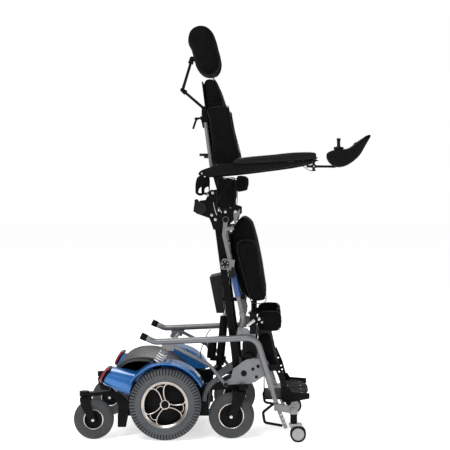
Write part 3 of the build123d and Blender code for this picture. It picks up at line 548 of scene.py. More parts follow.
def drive_tyre(side, tag):
    node = f"drive_tyre_{tag}"
    y = side * 296
    per = 8
    right = [(103, 21), (105, 23.5), (111, 26), (118, 27.6), (125, 28.2), (129, 28.3), (130.5, 28.3), (135, 28.2),
             (139, 27.8), (143, 27), (147, 25.6), (151, 23), (154.4, 19.4), (156.6, 15.2), (157.6, 11.4),
             (157.9, 10.2), (158.4, 8), (159, 4.2)]
    prof = [(r, w) for r, w in right] + [(159, 0)] + [(r, -w) for r, w in reversed(right)]

    def tread(s, r, w):
        phase = s % per
        slot = phase < 3
        if 130 < r < 157.7:
            if not slot:
                return r, w
            fade = min(1.0, (r - 128.0) / 8.0)
            return r - 3.6 * max(0.0, (r - 143.0) / 14.0), w - math.copysign(3.4 * fade, w)
        if r < 130:
            return r, w
        if abs(abs(w) - 10.2) < 0.3:
            return r - 3.0, w
        centre_slot = (s + per // 2) % per < 3
        return (r - 2.8 if centre_slot else r), w

    o = lathe(f"tyre_tread_{tag}", AXLE, y, prof, LUGS * per, tread)
    finish_piece(o, node, smooth=28)
    # Painted shade: slot faces at the shoulders get the darker tread-gap colour that stands for shade in the gaps
    o.data.materials.append(TREAD_GAP_SHADE)
    for f in o.data.polygons:
        x, z = (f.center.x + MIDDLE_X) / MM - AXLE[0], f.center.z / MM - AXLE[1]
        turn = (math.degrees(math.atan2(z, x)) % (360 / LUGS)) / (360 / LUGS)
        if math.hypot(x, z) > 131.5 and turn < 3 / per and abs(f.center.y / MM - y) > 10:
            f.material_index = 1
    replace(o, node)
    bead = lathe(f"tyre_bead_{tag}", AXLE, y, [(106, side * 23.4), (108, side * 25.6), (110.5, side * 26.2),
                                              (112, side * 25.4), (109, side * 23)], 96)
    finish_piece(bead, node)


def drive_rim(side, tag):
    node = f"drive_rim_{tag}"
    y = side * 296
    out = side
    lip = lathe(f"rim_lip_{tag}", AXLE, y, [(91, out * 12), (91.2, out * 18.6), (92.2, out * 19.6),
                                            (97.6, out * 21.6), (98.6, out * 22.6), (102.2, out * 23.8),
                                            (103, out * 23.6), (103, out * 19), (96, out * 15)], 128)
    finish_piece(lip, node, material=RIM_FACE, smooth=25)
    replace(lip, node)
    inner = lathe(f"rim_lip_inner_{tag}", AXLE, y, [(90, out * 8), (90, out * 13.6), (90.4, out * 15.6),
                                                    (91.2, out * 17.2), (91.2, out * 8)], 128)
    finish_piece(inner, node, material=BRONZE)
    barrel = lathe(f"rim_barrel_{tag}", AXLE, y, [(102.6, out * 18), (95, out * 16), (91, out * 8), (90, out * -8),
                                                  (93, out * -23), (102.6, out * -23.8)], 96)
    finish_piece(barrel, node, material=DARK_PLASTIC)
    dish = lathe(f"rim_dish_{tag}", AXLE, y, [(12.2, out * -18), (92, out * -18), (92, out * -14), (60, out * -12),
                                              (30, out * -6), (12.2, out * -6)], 96)
    finish_piece(dish, node, material=MATS["black_plastic"])
    ribs = []
    pockets = []
    for turn in (107, 227, 347):
        for fork in (-1, 1):
            path = []
            for r, spread, w in ((20, 26, 12), (27, 16, 11.5), (40, 11, 11.5), (58, 11, 12), (72, 13.5, 13),
                                 (82, 16.5, 14.5), (88.5, 20, 16), (91, 24, 17)):
                a = math.radians(turn + fork * spread)
                path.append((AXLE[0] + r * math.cos(a), y + out * w, AXLE[1] + r * math.sin(a)))
            ribs.append(tube("rib", path, 2.9, 5))
            back = [(p[0], p[1] - out * 5.0, p[2]) for p in path]
            pockets.append(tube("web", back, 4.0, 5))
        ring = []
        for fork, r in ((-14, 76), (-8, 82), (0, 84), (8, 82), (14, 76)):
            a = math.radians(turn + fork)
            ring.append((AXLE[0] + r * math.cos(a), y + out * 13.2, AXLE[1] + r * math.sin(a)))
        ribs.append(tube("bridge", ring, 2.0, 4))
    o = join(f"rim_ribs_{tag}", ribs)
    finish_piece(o, node, material=MATS["rim_metal"])
    o = join(f"rim_webs_{tag}", pockets)
    finish_piece(o, node, material=MATS["black_steel"])
    collar = lathe(f"rim_collar_{tag}", AXLE, y, [(17, out * 6), (17, out * 14.6), (18.6, out * 15.4), (21, out * 14.8),
                                                  (22.6, out * 12), (22.6, out * 6)], 64)
    finish_piece(collar, node, material=MATS["rim_metal"])
    hub = lathe(f"rim_hub_{tag}", AXLE, y, [(0, out * 12.5), (0, out * 17.6), (9, out * 17.4), (14, out * 16.4),
                                            (16.6, out * 14), (17.2, out * 9), (17.2, out * -6), (12.2, out * -6),
                                            (12.2, out * 12.5)], 64)
    finish_piece(hub, node, material=MATS["black_plastic"])


# ---------------------------------------------------------------- casters
def caster(node, name, centre, y, radius, half, rim, tag, holes=5, bolt=5.0):
    """Smooth round tyre, silver lip and dark slotted centre; the bright axle bolt is made with the fork."""
    h = half
    prof = round_profile([(rim, -h * 0.78), (rim + 3, -h * 0.86), (radius * 0.72, -h * 0.97), (radius * 0.86, -h * 0.9),
                          (radius * 0.955, -h * 0.62), (radius * 0.996, -h * 0.22), (radius * 0.996, h * 0.22),
                          (radius * 0.955, h * 0.62), (radius * 0.86, h * 0.9), (radius * 0.72, h * 0.97),
                          (rim + 3, h * 0.86), (rim, h * 0.78)], 3)
    prof = [(min(r, radius), max(-h, min(h, w))) for r, w in prof]
    o = lathe(f"{name}_tyre_{tag}", centre, y, prof, 96)
    finish_piece(o, node, material=CASTER_TYRE)
    replace(o, node)
    ring = []
    for face in (-1, 1):
        ring.append(lathe("lip", centre, y, [(rim - 6.5, face * h * 0.62), (rim - 6, face * h * 0.76),
                                             (rim - 3, face * h * 0.82), (rim - 0.2, face * h * 0.78),
                                             (rim - 0.2, face * h * 0.5), (rim - 5, face * h * 0.45)], 72))
    finish_piece(join(f"{name}_lip_{tag}", ring), node, material=MATS["rim_metal"])
    core = [lathe("barrel", centre, y, [(rim - 0.3, -h * 0.6), (rim - 0.3, h * 0.6), (rim - 5, h * 0.5),
                                        (rim - 6, 0), (rim - 5, -h * 0.5)], 72)]
    bore = 6.3 if radius > 60 else 4.3
    core.append(lathe("plate", centre, y, [(bore, -h * 0.25), (rim - 4, -h * 0.25), (rim - 4, h * 0.25),
                                           (bore, h * 0.25)], 72))
    core.append(lathe("boss", centre, y, [(bore, -h * 0.84), (bore + 7, -h * 0.84), (bore + 9, -h * 0.7),
                                          (bore + 10, 0), (bore + 9, h * 0.7), (bore + 7, h * 0.84),
                                          (bore, h * 0.84)], 48))
    for k in range(holes):
        a = math.radians(90 + 360 / holes * k)
        c, s = math.cos(a), math.sin(a)
        path = [(centre[0] + (bore + 8) * c, y, centre[1] + (bore + 8) * s),
                (centre[0] + (rim - 5) * c, y, centre[1] + (rim - 5) * s)]
        core.append(tube("spoke", path, h * 0.36, 1, False, False, 12))
    finish_piece(join(f"{name}_core_{tag}", core), node, material=MATS["black_plastic"])


def fork_leg(outline, y0, y1):
    return rounded_prism("leg", outline, y0, y1, 2.6, 3)


def rear_casters(side, tag):
    node = f"rear_fork_{tag}"
    y = 270.0
    parts = []
    leg = smooth_outline([(-375.5, 186), (-372, 158), (-358, 128), (-340, 98), (-330, 79), (-318, 76.5), (-306, 82),
                          (-305.5, 94), (-314, 118), (-324, 146), (-331, 170), (-335, 188.5), (-355, 188.8)], 3)
    for inner in (y - 33, y + 25):
        parts.append(fork_leg(leg, *span(side, inner, inner + 8)))
    crown = [(-375.5, 181.3), (-375.5, 187), (-372, 188.9), (-334, 188.9), (-330.5, 187), (-330.5, 181.3)]
    parts.append(rounded_prism("crown", crown, *span(side, y - 33, y + 33), 3, 3))
    finish_piece(join(f"rear_fork_body_{tag}", parts), node)
    ends = [disc_piece((-318, 89), 6.5, *span(side, y + 33, y + 35.6)), disc_piece((-318, 89), 6.5, *span(side, y - 35.6, y - 33)),
            disc_piece((-318, 89), 5.9, *span(side, y - 33, y + 33), 0.5)]
    bolts = join(f"rear_fork_axle_{tag}", ends)
    finish_piece(bolts, node, material=MATS["bright_steel"])
    stem = tube(f"rear_fork_stem_{tag}", [(-360, side * y, 188), (-360, side * y, 207.9)], 7.95, 1, False, False, 24)
    finish_piece(stem, node, material=MATS["bright_steel"])
    replace(stem, node)
    caster(f"rear_wheel_{tag}", "rear_wheel", (-318, 89), side * y, 89, 22.5, 46, tag)


def front_casters(side, tag):
    node = f"front_fork_{tag}"
    y = 256.0
    parts = []
    leg = smooth_outline([(358, 210), (352, 186), (338, 156), (322, 124), (308, 96), (296, 88.5), (283, 89.5),
                          (277.5, 100), (281, 118), (290, 146), (296, 178), (298, 206), (320, 210.5), (345, 210.8)],
                         3)
    for inner in (y - 36, y + 28):
        parts.append(fork_leg(leg, *span(side, inner, inner + 8)))
    crown = [(297, 204.4), (293, 207), (297, 210.8), (355, 210.8), (357.8, 208), (357.8, 204.4)]
    parts.append(rounded_prism("crown", crown, *span(side, y - 36, y + 36), 2.4, 3))
    cap = tube("cap", [(338, side * y, 233.2), (338, side * y, 237.9)], 12.9, 1, False, False, 32)
    parts.append(cap)
    finish_piece(join(f"front_fork_body_{tag}", parts), node)
    ends = [disc_piece((291, 101.5), 7, *span(side, y + 36, y + 38.8)),
            disc_piece((291, 101.5), 7, *span(side, y - 38.8, y - 36)),
            disc_piece((291, 101.5), 5.9, *span(side, y - 36, y + 36), 0.5)]
    finish_piece(join(f"front_fork_axle_{tag}", ends), node, material=MATS["bright_steel"])
    stem = tube(f"front_fork_stem_{tag}", [(338, side * y, 210), (338, side * y, 233.5)], 7.95, 1, False, False, 24)
    finish_piece(stem, node, material=MATS["bright_steel"])
    replace(stem, node)
    caster(f"front_wheel_{tag}", "front_wheel", (291, 101.5), side * y, 101.5, 25, 58, tag)


def anti_tip(side, tag):
    node = f"anti_tip_fork_{tag}"
    y = 325.0
    web = smooth_outline([(549, 79), (599, 79), (601, 58), (594, 31), (585, 27), (576, 31), (562, 54), (551, 62)], 3)
    parts = [rounded_prism("web", web, *span(side, y - 6, y + 6), 1.8, 3)]
    crown = smooth_outline([(546.5, 73), (546.5, 78), (552, 79.9), (594, 79.9), (600, 77.5), (600, 72.5), (590, 71.7),
                            (556, 71.7)], 2)
    parts.append(rounded_prism("crown", crown, *span(side, y - 21, y + 21), 3.2, 4))
    o = join(f"anti_tip_hood_{tag}", parts)
    finish_piece(o, node, material=LIGHT_GREY)
    replace(o, node)
    rings = [(0, 79), (14.4, 79)]
    z = 81.0
    while z < 119:
        rings += [(15.4, z), (15.4, z + 3.2), (13.6, z + 4.2), (13.6, z + 5.2)]
        z += 6.2
    rings += [(14.5, 120.8), (0, 120.8)]
    verts, faces = [], []
    count = 40
    for s in range(count):
        a = 2 * math.pi * s / count
        for r, h in rings:
            verts.append(((566 + r * math.cos(a)) * MM, (side * y + r * math.sin(a)) * MM, h * MM))
    n = len(rings)
    for s in range(count):
        t = (s + 1) % count
        for k in range(n - 1):
            faces.append((s * n + k, t * n + k, t * n + k + 1, s * n + k + 1))
    stem = mesh_object(f"anti_tip_stem_{tag}", verts, faces)
    finish_piece(stem, node, material=MATS["black_rubber"])
    pin = tube(f"anti_tip_pin_{tag}", [(566, side * y, 120), (566, side * y, 142.8)], 7.9, 1, False, False, 24)
    finish_piece(pin, node, material=MATS["bright_steel"])
    wheel = f"anti_tip_wheel_{tag}"
    tyres, centres = [], []
    for offset in (-14, 14):
        prof = round_profile([(27.2, -5.3), (30, -6.1), (33.2, -5.2), (34.9, -2.4), (34.9, 2.4), (33.2, 5.2),
                              (30, 6.1), (27.2, 5.3)], 3)
        prof = [(min(r, 35), max(-6.2, min(6.2, w))) for r, w in prof]
        tyres.append(lathe("ring", TIP_AXLE, side * y + offset, prof, 72))
        centres.append(lathe("disc", TIP_AXLE, side * y + offset,
                             [(4.1, -5.9), (18, -6), (23, -5.2), (26.6, -4.2), (27.1, -3), (27.1, 3), (26.6, 4.2),
                              (23, 5.2), (18, 6), (4.1, 5.9)], 72))
    tyre = join(f"anti_tip_tyre_{tag}", tyres)
    finish_piece(tyre, wheel, material=MATS["black_rubber"])
    replace(tyre, wheel)
    finish_piece(join(f"anti_tip_hub_{tag}", centres), wheel, material=LIGHT_GREY)
    caps = [disc_piece(TIP_AXLE, 9, *span(side, y + 20, y + 21.6)), disc_piece(TIP_AXLE, 9, *span(side, y - 21.6, y - 20)),
            disc_piece(TIP_AXLE, 3.95, *span(side, y - 20.5, y + 20.5), 0.4)]
    finish_piece(join(f"anti_tip_cap_{tag}", caps), node, material=LIGHT_GREY)


# ---------------------------------------------------------------- power base
POD = [(-246, 308), (-127, 283), (-146, 236), (-158, 194), (-196, 204), (-281, 246)]
LIGHT_LOW = (-283.0, 255.0)
LIGHT_HIGH = (-252.0, 311.0)


def pod_shell(side):
    """Part-cylinder pod: a D-shaped section carried from the tail light to the wheel arch."""
    sections = ((-247.5, 306.5, -284, 242), (-243, 308.5, -280, 237.5), (-190, 298, -222, 208),
                (-135, 286, -166, 186.5), (-131, 283, -162.5, 187.5))
    inner, outer = 187.0, 291.5
    count = 22
    verts, faces = [], []
    for row, (tx, tz, bx, bz) in enumerate(sections):
        shrink = 0.965 if row in (0, len(sections) - 1) else 1.0
        for k in range(count + 1):
            a = math.pi * (k / count - 0.5)
            up = 0.5 + 0.5 * shrink * math.copysign(abs(math.sin(a)) ** 0.86, math.sin(a))
            across = max(0.0, math.cos(a)) ** 0.55
            y = inner + (outer - inner) * across * (0.97 if shrink < 1 else 1.0)
            verts.append(((bx + (tx - bx) * up) * MM, side * y * MM, (bz + (tz - bz) * up) * MM))
    n = count + 1
    for r in range(len(sections) - 1):
        for k in range(n):
            m = (k + 1) % n
            faces.append((r * n + k, r * n + m, (r + 1) * n + m, (r + 1) * n + k))
    faces.append(tuple(range(n)))
    faces.append(tuple((len(sections) - 1) * n + k for k in range(n - 1, -1, -1)))
    o = mesh_object("pod", verts, faces)
    bm = bmesh.new()
    bm.from_mesh(o.data)
    bmesh.ops.recalc_face_normals(bm, faces=bm.faces)
    bm.to_mesh(o.data)
    bm.free()
    return o


def shrouds():
    parts = []
    for side, tag in SIDES:
        edge = [(183.6, 186.4), (184, 188), (184, 318), (183.2, 322.5), (180.8, 324.8), (177.8, 324.8),
                (176.2, 323), (176.4, 320.4), (179.6, 319.6), (180, 316), (180, 190), (178.5, 186.4)]
        profile = [(r, side * w) for r, w in edge]
        cut0 = (103.5, 90.0 - 0.4)
        spans = [(153.0, 113.0, 186.4, 325), (89.5, 26.9, 186.4, 325)]
        for a0, a1, _, _ in spans:
            parts.append(lathe("fender", AXLE, 0.0, profile, 40, None, a1, a0))
        outer = [(r, side * w) for r, w in [(183.6, 278), (184, 280), (184, 318), (183.2, 322.5), (180.8, 324.8),
                                            (177.8, 324.8), (176.2, 323), (176.4, 320.4), (179.6, 319.6),
                                            (180, 316), (180, 278)]]
        parts.append(lathe("fender_out", AXLE, 0.0, outer, 16, None, 89.5, 113.0))
        innr = [(r, side * w) for r, w in [(184, 186.4), (184, 203), (180, 203), (178.5, 186.4)]]
        parts.append(lathe("fender_in", AXLE, 0.0, innr, 16, None, 89.5, 113.0))
        wall = [(AXLE[0] + 178 * math.cos(math.radians(a)), AXLE[1] + 178 * math.sin(math.radians(a)))
                for a in range(27, 154, 6)]
        parts.append(rounded_prism("wall", wall, *span(side, 186.4, 189.8), 0.5, 1))
        parts.append(pod_shell(side))
    o = join("shroud_skin", parts)
    finish_piece(o, "side_shrouds", smooth=35)
    replace(o, "side_shrouds")
    black = []
    for side, tag in SIDES:
        back = [along(LIGHT_LOW, LIGHT_HIGH, -3, -1), along(LIGHT_LOW, LIGHT_HIGH, 69, -1),
                along(LIGHT_LOW, LIGHT_HIGH, 69, -8), along(LIGHT_LOW, LIGHT_HIGH, -3, -8)]
        black.append(rounded_prism("bezel", back, *span(side, 207, 290), 2, 3))
    o = join("light_bezels", black)
    finish_piece(o, "tail_lights", material=MATS["black_plastic"])
    lens = []
    for side, tag in SIDES:
        a = LIGHT_LOW
        b = LIGHT_HIGH
        outline = smooth_outline([along(a, b, -4, 4), along(a, b, 2, 11), along(a, b, 20, 13.4), along(a, b, 44, 13.4),
                                  along(a, b, 62, 11), along(a, b, 68, 4), along(a, b, 64, -2), along(a, b, 0, -2)], 4)
        lens.append(rounded_prism("lens", outline, *span(side, 210, 289), 9, 6))
        for k in range(7):
            ys = side * (220 + 10 * k)
            lens.append(tube("flute", [(*along(a, b, 2, 11.2), 0)][0:0] + [
                (along(a, b, 4, 11.2)[0], ys, along(a, b, 4, 11.2)[1]),
                (along(a, b, 32, 13.2)[0], ys, along(a, b, 32, 13.2)[1]),
                (along(a, b, 60, 11.2)[0], ys, along(a, b, 60, 11.2)[1])], 1.0, 4, False, True, 8))
    o = join("light_lenses", lens)
    finish_piece(o, "tail_lights")
    replace(o, "tail_lights")


def centre_cover():
    """Arched cover with a raised rim and a dark recess at the rear."""
    outer = smooth_outline([(-257, 198), (-252, 240), (-238, 288), (-214, 318), (-184, 337), (-150, 347),
                            (-115, 349.5), (-75, 346), (-30, 332), (12, 307), (56, 270), (90, 240), (113, 212)], 3,
                           False)
    shell = outer + [(108, 208), (86, 234), (52, 264), (8, 301), (-33, 326), (-77, 340), (-115, 343.5),
                     (-149, 341), (-181, 331), (-209, 313), (-232, 286), (-246, 240), (-251, 198)]
    o = rounded_prism("cover_skin", shell, -185, 185, 1.6, 2)
    parts = [o]
    rim = [(x, z) for x, z in outer if x < 60]
    for side in (-1, 1):
        pts = [(x, side * 181.5, z - 2) for x, z in rim]
        parts.append(tube("rib", pts, 4.2, 1, False, False, 10))
    inner = smooth_outline([(-238, 236), (-222, 282), (-190, 312), (-150, 325), (-110, 326), (-70, 320), (-60, 330),
                            (-110, 342), (-150, 342), (-190, 331), (-230, 288), (-248, 240)], 3)
    for side in (-1, 1):
        parts.append(rounded_prism("lip", inner, *span(side, 168, 184), 5, 4))
    o = join("cover_body", parts)
    finish_piece(o, "centre_cover", smooth=38)
    replace(o, "centre_cover")


def springs():
    """White coil springs between the base and the side frames."""
    low, high = (-38.5, 332.6), (-7.2, 382.2)
    parts = []
    for side, tag in SIDES:
        n = Vector((high[0] - low[0], 0, high[1] - low[1]))
        length = n.length
        n.normalize()
        u = Vector((0, 1, 0))
        v = n.cross(u)
        pts = []
        turns = 4.4
        for i in range(int(turns * 22) + 1):
            a = 2 * math.pi * i / 22
            t = 3.7 + (length - 7.4) * i / (turns * 22)
            r = 18.5
            p = Vector((low[0], side * 250, low[1])) + n * t + u * (r * math.cos(a)) + v * (r * math.sin(a))
            pts.append(tuple(p))
        parts.append(tube("coil", pts, 3.3, 1, False, False, 10))
    o = join("spring_coils", parts)
    to_shared_frame(o)
    o.data.materials.append(SPRING_WHITE)
    shade_smooth(o, 60)
    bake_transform(o)
    replace(o, "suspension_springs")


def conduits():
    """Ribbed grey cable conduits beside the wheels."""
    parts = []
    for side, tag in SIDES:
        y = side * 236
        path = smooth_outline([(235, y, 267), (214, y, 250), (190, y, 226), (173, y, 200), (168, y, 180),
                               (168, y, 161.5)], 6, False)
        parts.append(tube("hose", path, 11.6, 1, False, False, 20))
        for i in range(2, len(path) - 1, 4):
            a, b = Vector(path[i]), Vector(path[min(i + 1, len(path) - 1)])
            parts.append(tube("band", [tuple(a), tuple(a + (b - a).normalized() * 3.0)], 12.4, 1, False, False, 20))
    o = join("conduit_hoses", parts)
    finish_piece(o, "cable_conduits", material=surface("m_conduit", (0.075, 0.08, 0.085), 0.4, 0.1, 900, 0.15, 0.2))
    replace(o, "cable_conduits")


# ---------------------------------------------------------------- seat
CUSHION = [(283, 906), (306, 752), (358, 600), (384, 592), (452, 603), (427, 768), (407, 868), (379, 972),
           (352, 994), (334, 992), (300, 960)]


def seat_cushion():
    front = [(286, 900), (309, 752), (360, 606), (384, 596), (449, 606), (425, 768), (405, 868), (378, 966),
             (352, 989), (332, 987), (303, 952)]
    main = crowned("cushion_main", front, -177, 177, 14, 9.0, 6.0)
    press_channels(main, [((0, 1, 0), 0.0, 9.0)], 5.0)
    finish_piece(main, "seat_cushion", smooth=80)
    replace(main, "seat_cushion")
    flap = [(313, 862), (341, 724), (373, 610), (386, 597), (448, 607), (424, 766), (406, 858), (380, 880)]
    for side, tag in SIDES:
        y0, y1 = span(side, 176, 227)
        inner = crowned(f"cushion_side_{tag}", flap, y0, y1, 12, 7.0, 5.0)
        finish_piece(inner, "seat_cushion", smooth=80)
        y = side * 226.0
        seam = tube(f"cushion_seam_{tag}", [(425, y - side * 2, 764), (416, y, 735), (404, y + side * 1, 700),
                                            (390, y + side * 1, 668), (376, y - side * 1, 640),
                                            (368, y - side * 5, 622)], 1.3, 6)
        finish_piece(seam, "seat_cushion", material=PIPING)
        edge = [(x, side * 222, z) for x, z in inset(smooth_outline(flap, 2), 3.0)]
        finish_piece(tube(f"cushion_piping_{tag}", edge, 1.7, 2, True, True, 8), "seat_cushion", material=PIPING)


def knee_pads():
    for side, tag in SIDES:
        node = f"knee_pad_{tag}"
        octagon = [(402, 486), (402, 540), (424, 562), (496, 562), (518, 540), (518, 486), (496, 464), (424, 464)]
        y0, y1 = span(side, 174, 195)
        shell = crowned(f"knee_cup_{tag}", octagon, y0 - 1.0, y1 + 1.0, 9, 6.0, 4.0, 2.0)
        finish_piece(shell, node, smooth=80)
        replace(shell, node)
        y0, y1 = span(side, 40, 190)
        front = crowned(f"knee_front_{tag}", [(495, 486), (495, 544), (514, 541), (514, 489)], y0, y1, 8, 6.0, 4.0,
                        1.5)
        finish_piece(front, node, smooth=80)
        ring = [(x, side * 192.5, z) for x, z in inset(octagon, 7)]
        finish_piece(tube(f"knee_piping_{tag}", ring, 2.0, 2, True, True, 8), node, material=PIPING)
        arm = [rounded_prism("arm", [(388, 501), (388, 533), (434, 532), (440, 526), (440, 508), (434, 502)],
                             *span(side, 196.5, 203), 2, 3),
               rounded_prism("web", [(388, 501), (388, 533), (399, 533), (399, 501)], *span(side, 199, 214), 1, 2),
               tube("knuckle", [(386, side * 216, 494.5), (386, side * 216, 539.5)], 10, 1, False, False, 32)]
        finish_piece(join(f"knee_arm_{tag}", arm), node, material=MATS["black_steel"])
        studs = [disc_piece((412, 524), 8, *span(side, 203, 206.5), 1.2), disc_piece((426, 509), 5, *span(side, 203, 206), 1)]
        finish_piece(join(f"knee_studs_{tag}", studs), node, material=MATS["bright_steel"])
        ribs = []
        low, high = (359, 497), (407, 534)
        bar = [along(low, high, 0, 6), along(low, high, 43, 6), along(low, high, 46, 0), along(low, high, 43, -6),
               along(low, high, 0, -6), along(low, high, -3, 0)]
        ribs.append(rounded_prism("bar", bar, *span(side, 252, 256), 1.4, 3))
        for k in range(4):
            c = along(low, high, 9 + 8 * k)
            a, b = along(c, high, 0, 6), along(c, high, 0, -6)
            ribs.append(tube("rib", [(a[0], side * 256.5, a[1]), (b[0], side * 256.5, b[1])], 1.6, 1, False, False, 10))
        finish_piece(join(f"knee_buckle_{tag}", ribs), "frame_bolts", material=MATS["bright_steel"])


def calf_pad():
    o = crowned("calf_panel", [(411, 457), (462, 460), (476, 400), (489, 340), (504, 297), (473, 289), (455, 323),
                               (450, 339), (425, 349), (411, 382), (408, 424)], -179, 179, 11, 8.0, 4.0, 2.0)
    press_channels(o, [((0, 1, 0), 0.0, 8.0)], 4.0)
    finish_piece(o, "calf_pad", smooth=80)
    replace(o, "calf_pad")
    parts = [tube("trim", [(461, side * 174, 454), (474, side * 176, 400), (486, side * 176, 346),
                           (500, side * 174, 304)], 1.8, 5) for side, tag in SIDES]
    finish_piece(join("calf_piping", parts), "calf_pad", material=PIPING)


def side_guards():
    for side, tag in SIDES:
        guard = [(224, 1018), (262, 1014), (303, 1022), (309, 1080), (309, 1156), (270, 1160), (229, 1158),
                 (221, 1090)]
        y0, y1 = span(side, 210.5, 221)
        o = crowned(f"guard_panel_{tag}", guard, y0, y1, 4.5, 4.5, 2.5, 1.0)
        finish_piece(o, "side_guards", smooth=80)
        if side < 0:
            replace(o, "side_guards")
        rim = [(x, side * 219.5, z) for x, z in inset(smooth_outline(guard, 2), 4.0)]
        sweep = tube("sweep", [(224, side * 220.5, 1040), (240, side * 221, 1078), (262, side * 221, 1112),
                               (284, side * 221, 1138), (304, side * 220, 1152)], 1.6, 6)
        finish_piece(join(f"guard_piping_{tag}", [tube("rim", rim, 1.6, 2, True, True, 8), sweep]), "side_guards",
                     material=PIPING)
        pouch = smooth_outline([(310, 1096), (334, 1093), (356, 1098), (359, 1112), (364, 1130), (362, 1160),
                                (350, 1168), (312, 1166)], 3)
        p = crowned(f"belt_pad_{tag}", pouch, *span(side, 204, 228), 7, 5.0, 3.0, 2.0)
        finish_piece(p, "side_guards", smooth=80)


def backrest():
    main = [(212, 1210), (195, 1340), (177, 1460), (161, 1585), (164, 1606), (182, 1612), (208, 1610), (224, 1586),
            (240, 1545), (255, 1475), (262, 1387), (275, 1262), (277, 1214)]
    o = crowned("back_cushion_main", main, -175, 175, 11, 8.0, 5.0, 2.0)
    press_channels(o, [((0, 0, 1), 1300, 9.0), ((0, 0, 1), 1400, 9.0), ((0, 0, 1), 1500, 9.0)], 5.0)
    finish_piece(o, "back_cushion", smooth=80)
    replace(o, "back_cushion")
    wing = [(213, 1217), (201, 1320), (187, 1420), (180, 1468), (230, 1480), (264, 1484), (279, 1481), (283, 1462),
            (297, 1387), (313, 1325), (328, 1262), (321, 1227), (290, 1211)]
    for side, tag in SIDES:
        w = crowned(f"back_wing_{tag}", wing, *span(side, 175, 214), 7, 6.0, 4.0, 1.5)
        finish_piece(w, "back_cushion", smooth=80)
        rim = [(x, side * 209, z) for x, z in inset(smooth_outline(wing, 2), 4.0)]
        strap = [(206, side * 176, 1607), (224, side * 182, 1582), (236, side * 186, 1550), (247, side * 190, 1518),
                 (255, side * 194, 1492), (262, side * 196, 1480)]
        finish_piece(join(f"back_piping_{tag}", [tube("rim", rim, 1.7, 2, True, True, 8),
                                                 tube("strap", strap, 3.0, 6)]), "back_cushion", material=PIPING)
        ring = [(131.5, 1088), (150, 1077), (168, 1085), (170.5, 1120), (170, 1158), (162, 1166.5), (150, 1166),
                (138, 1158), (131, 1135), (129.5, 1108)]
        hole = [(143, 1091), (154, 1089), (164, 1094), (165, 1106), (163, 1117), (156, 1116), (148, 1110), (144, 1100)]
        count = 48
        outer, inner = even_ring(ring, count), even_ring(hole, count)
        verts, faces = [], []
        for place, (points, dy, d) in enumerate(((outer, -4.9, 1), (outer, 4.9, 1), (inner, 4.9, 0), (inner, -4.9, 0),
                                                 (outer, -3.0, 0), (outer, 3.0, 0))):
            for x, z in (inset(points, d) if d else points):
                verts.append((x * MM, (side * 237 + dy) * MM, z * MM))
        for i in range(count):
            j = (i + 1) % count
            order = (0, 4, 5, 1, 2, 3)
            for k in range(6):
                a, b = order[k], order[(k + 1) % 6]
                faces.append((a * count + i, a * count + j, b * count + j, b * count + i))
        o = mesh_object(f"belt_loop_{tag}", verts, faces)
        bm = bmesh.new()
        bm.from_mesh(o.data)
        bmesh.ops.recalc_face_normals(bm, faces=bm.faces)
        bm.to_mesh(o.data)
        bm.free()
        finish_piece(o, "back_cushion", smooth=60)


def scoop(o, place, direction, radius):
    """Hollows the front of a pad between its side wings along a slanting channel."""
    d = np.array([direction[0], 0, direction[1]])
    d /= np.linalg.norm(d)
    n = np.array([-d[2], 0, d[0]])
    co = np.array([v.co for v in o.data.vertices]) / MM
    across = (co - np.array([place[0], 0, place[1]])) @ n
    y = co[:, 1]
    reach = radius * np.cos(np.clip(np.abs(y) / (radius + 22), 0, 1) * math.pi / 2) ** 0.8
    target = np.minimum(across, 14 - reach)
    co += np.outer(target - across, n)
    o.data.vertices.foreach_set("co", (co * MM).astype(np.float32).ravel())
    o.data.update()


def headrest():
    outline = [(136, 1861), (112, 1852), (92, 1835), (82, 1798), (93, 1766), (105, 1745), (113, 1712), (122, 1680),
               (129, 1652), (153, 1630), (187, 1627), (214, 1634), (230, 1652), (237, 1680), (224, 1746),
               (204, 1820), (190, 1842), (169, 1857)]
    o = crowned("head_pad", outline, -119, 119, 16, 7.0, 5.0, 2.5)
    scoop(o, (226, 1746), (0.27, -0.963), 60)
    finish_piece(o, "headrest_pad", smooth=80)
    replace(o, "headrest_pad")
    parts = [rounded_prism("clamp", [(150, 1728), (112, 1725), (92, 1724), (89, 1714), (99, 1704), (112, 1701),
                                     (150, 1700)], -8.9, 8.9, 2, 3)]
    finish_piece(join("head_clamp_body", parts), "headrest_pad", material=MATS["black_steel"])


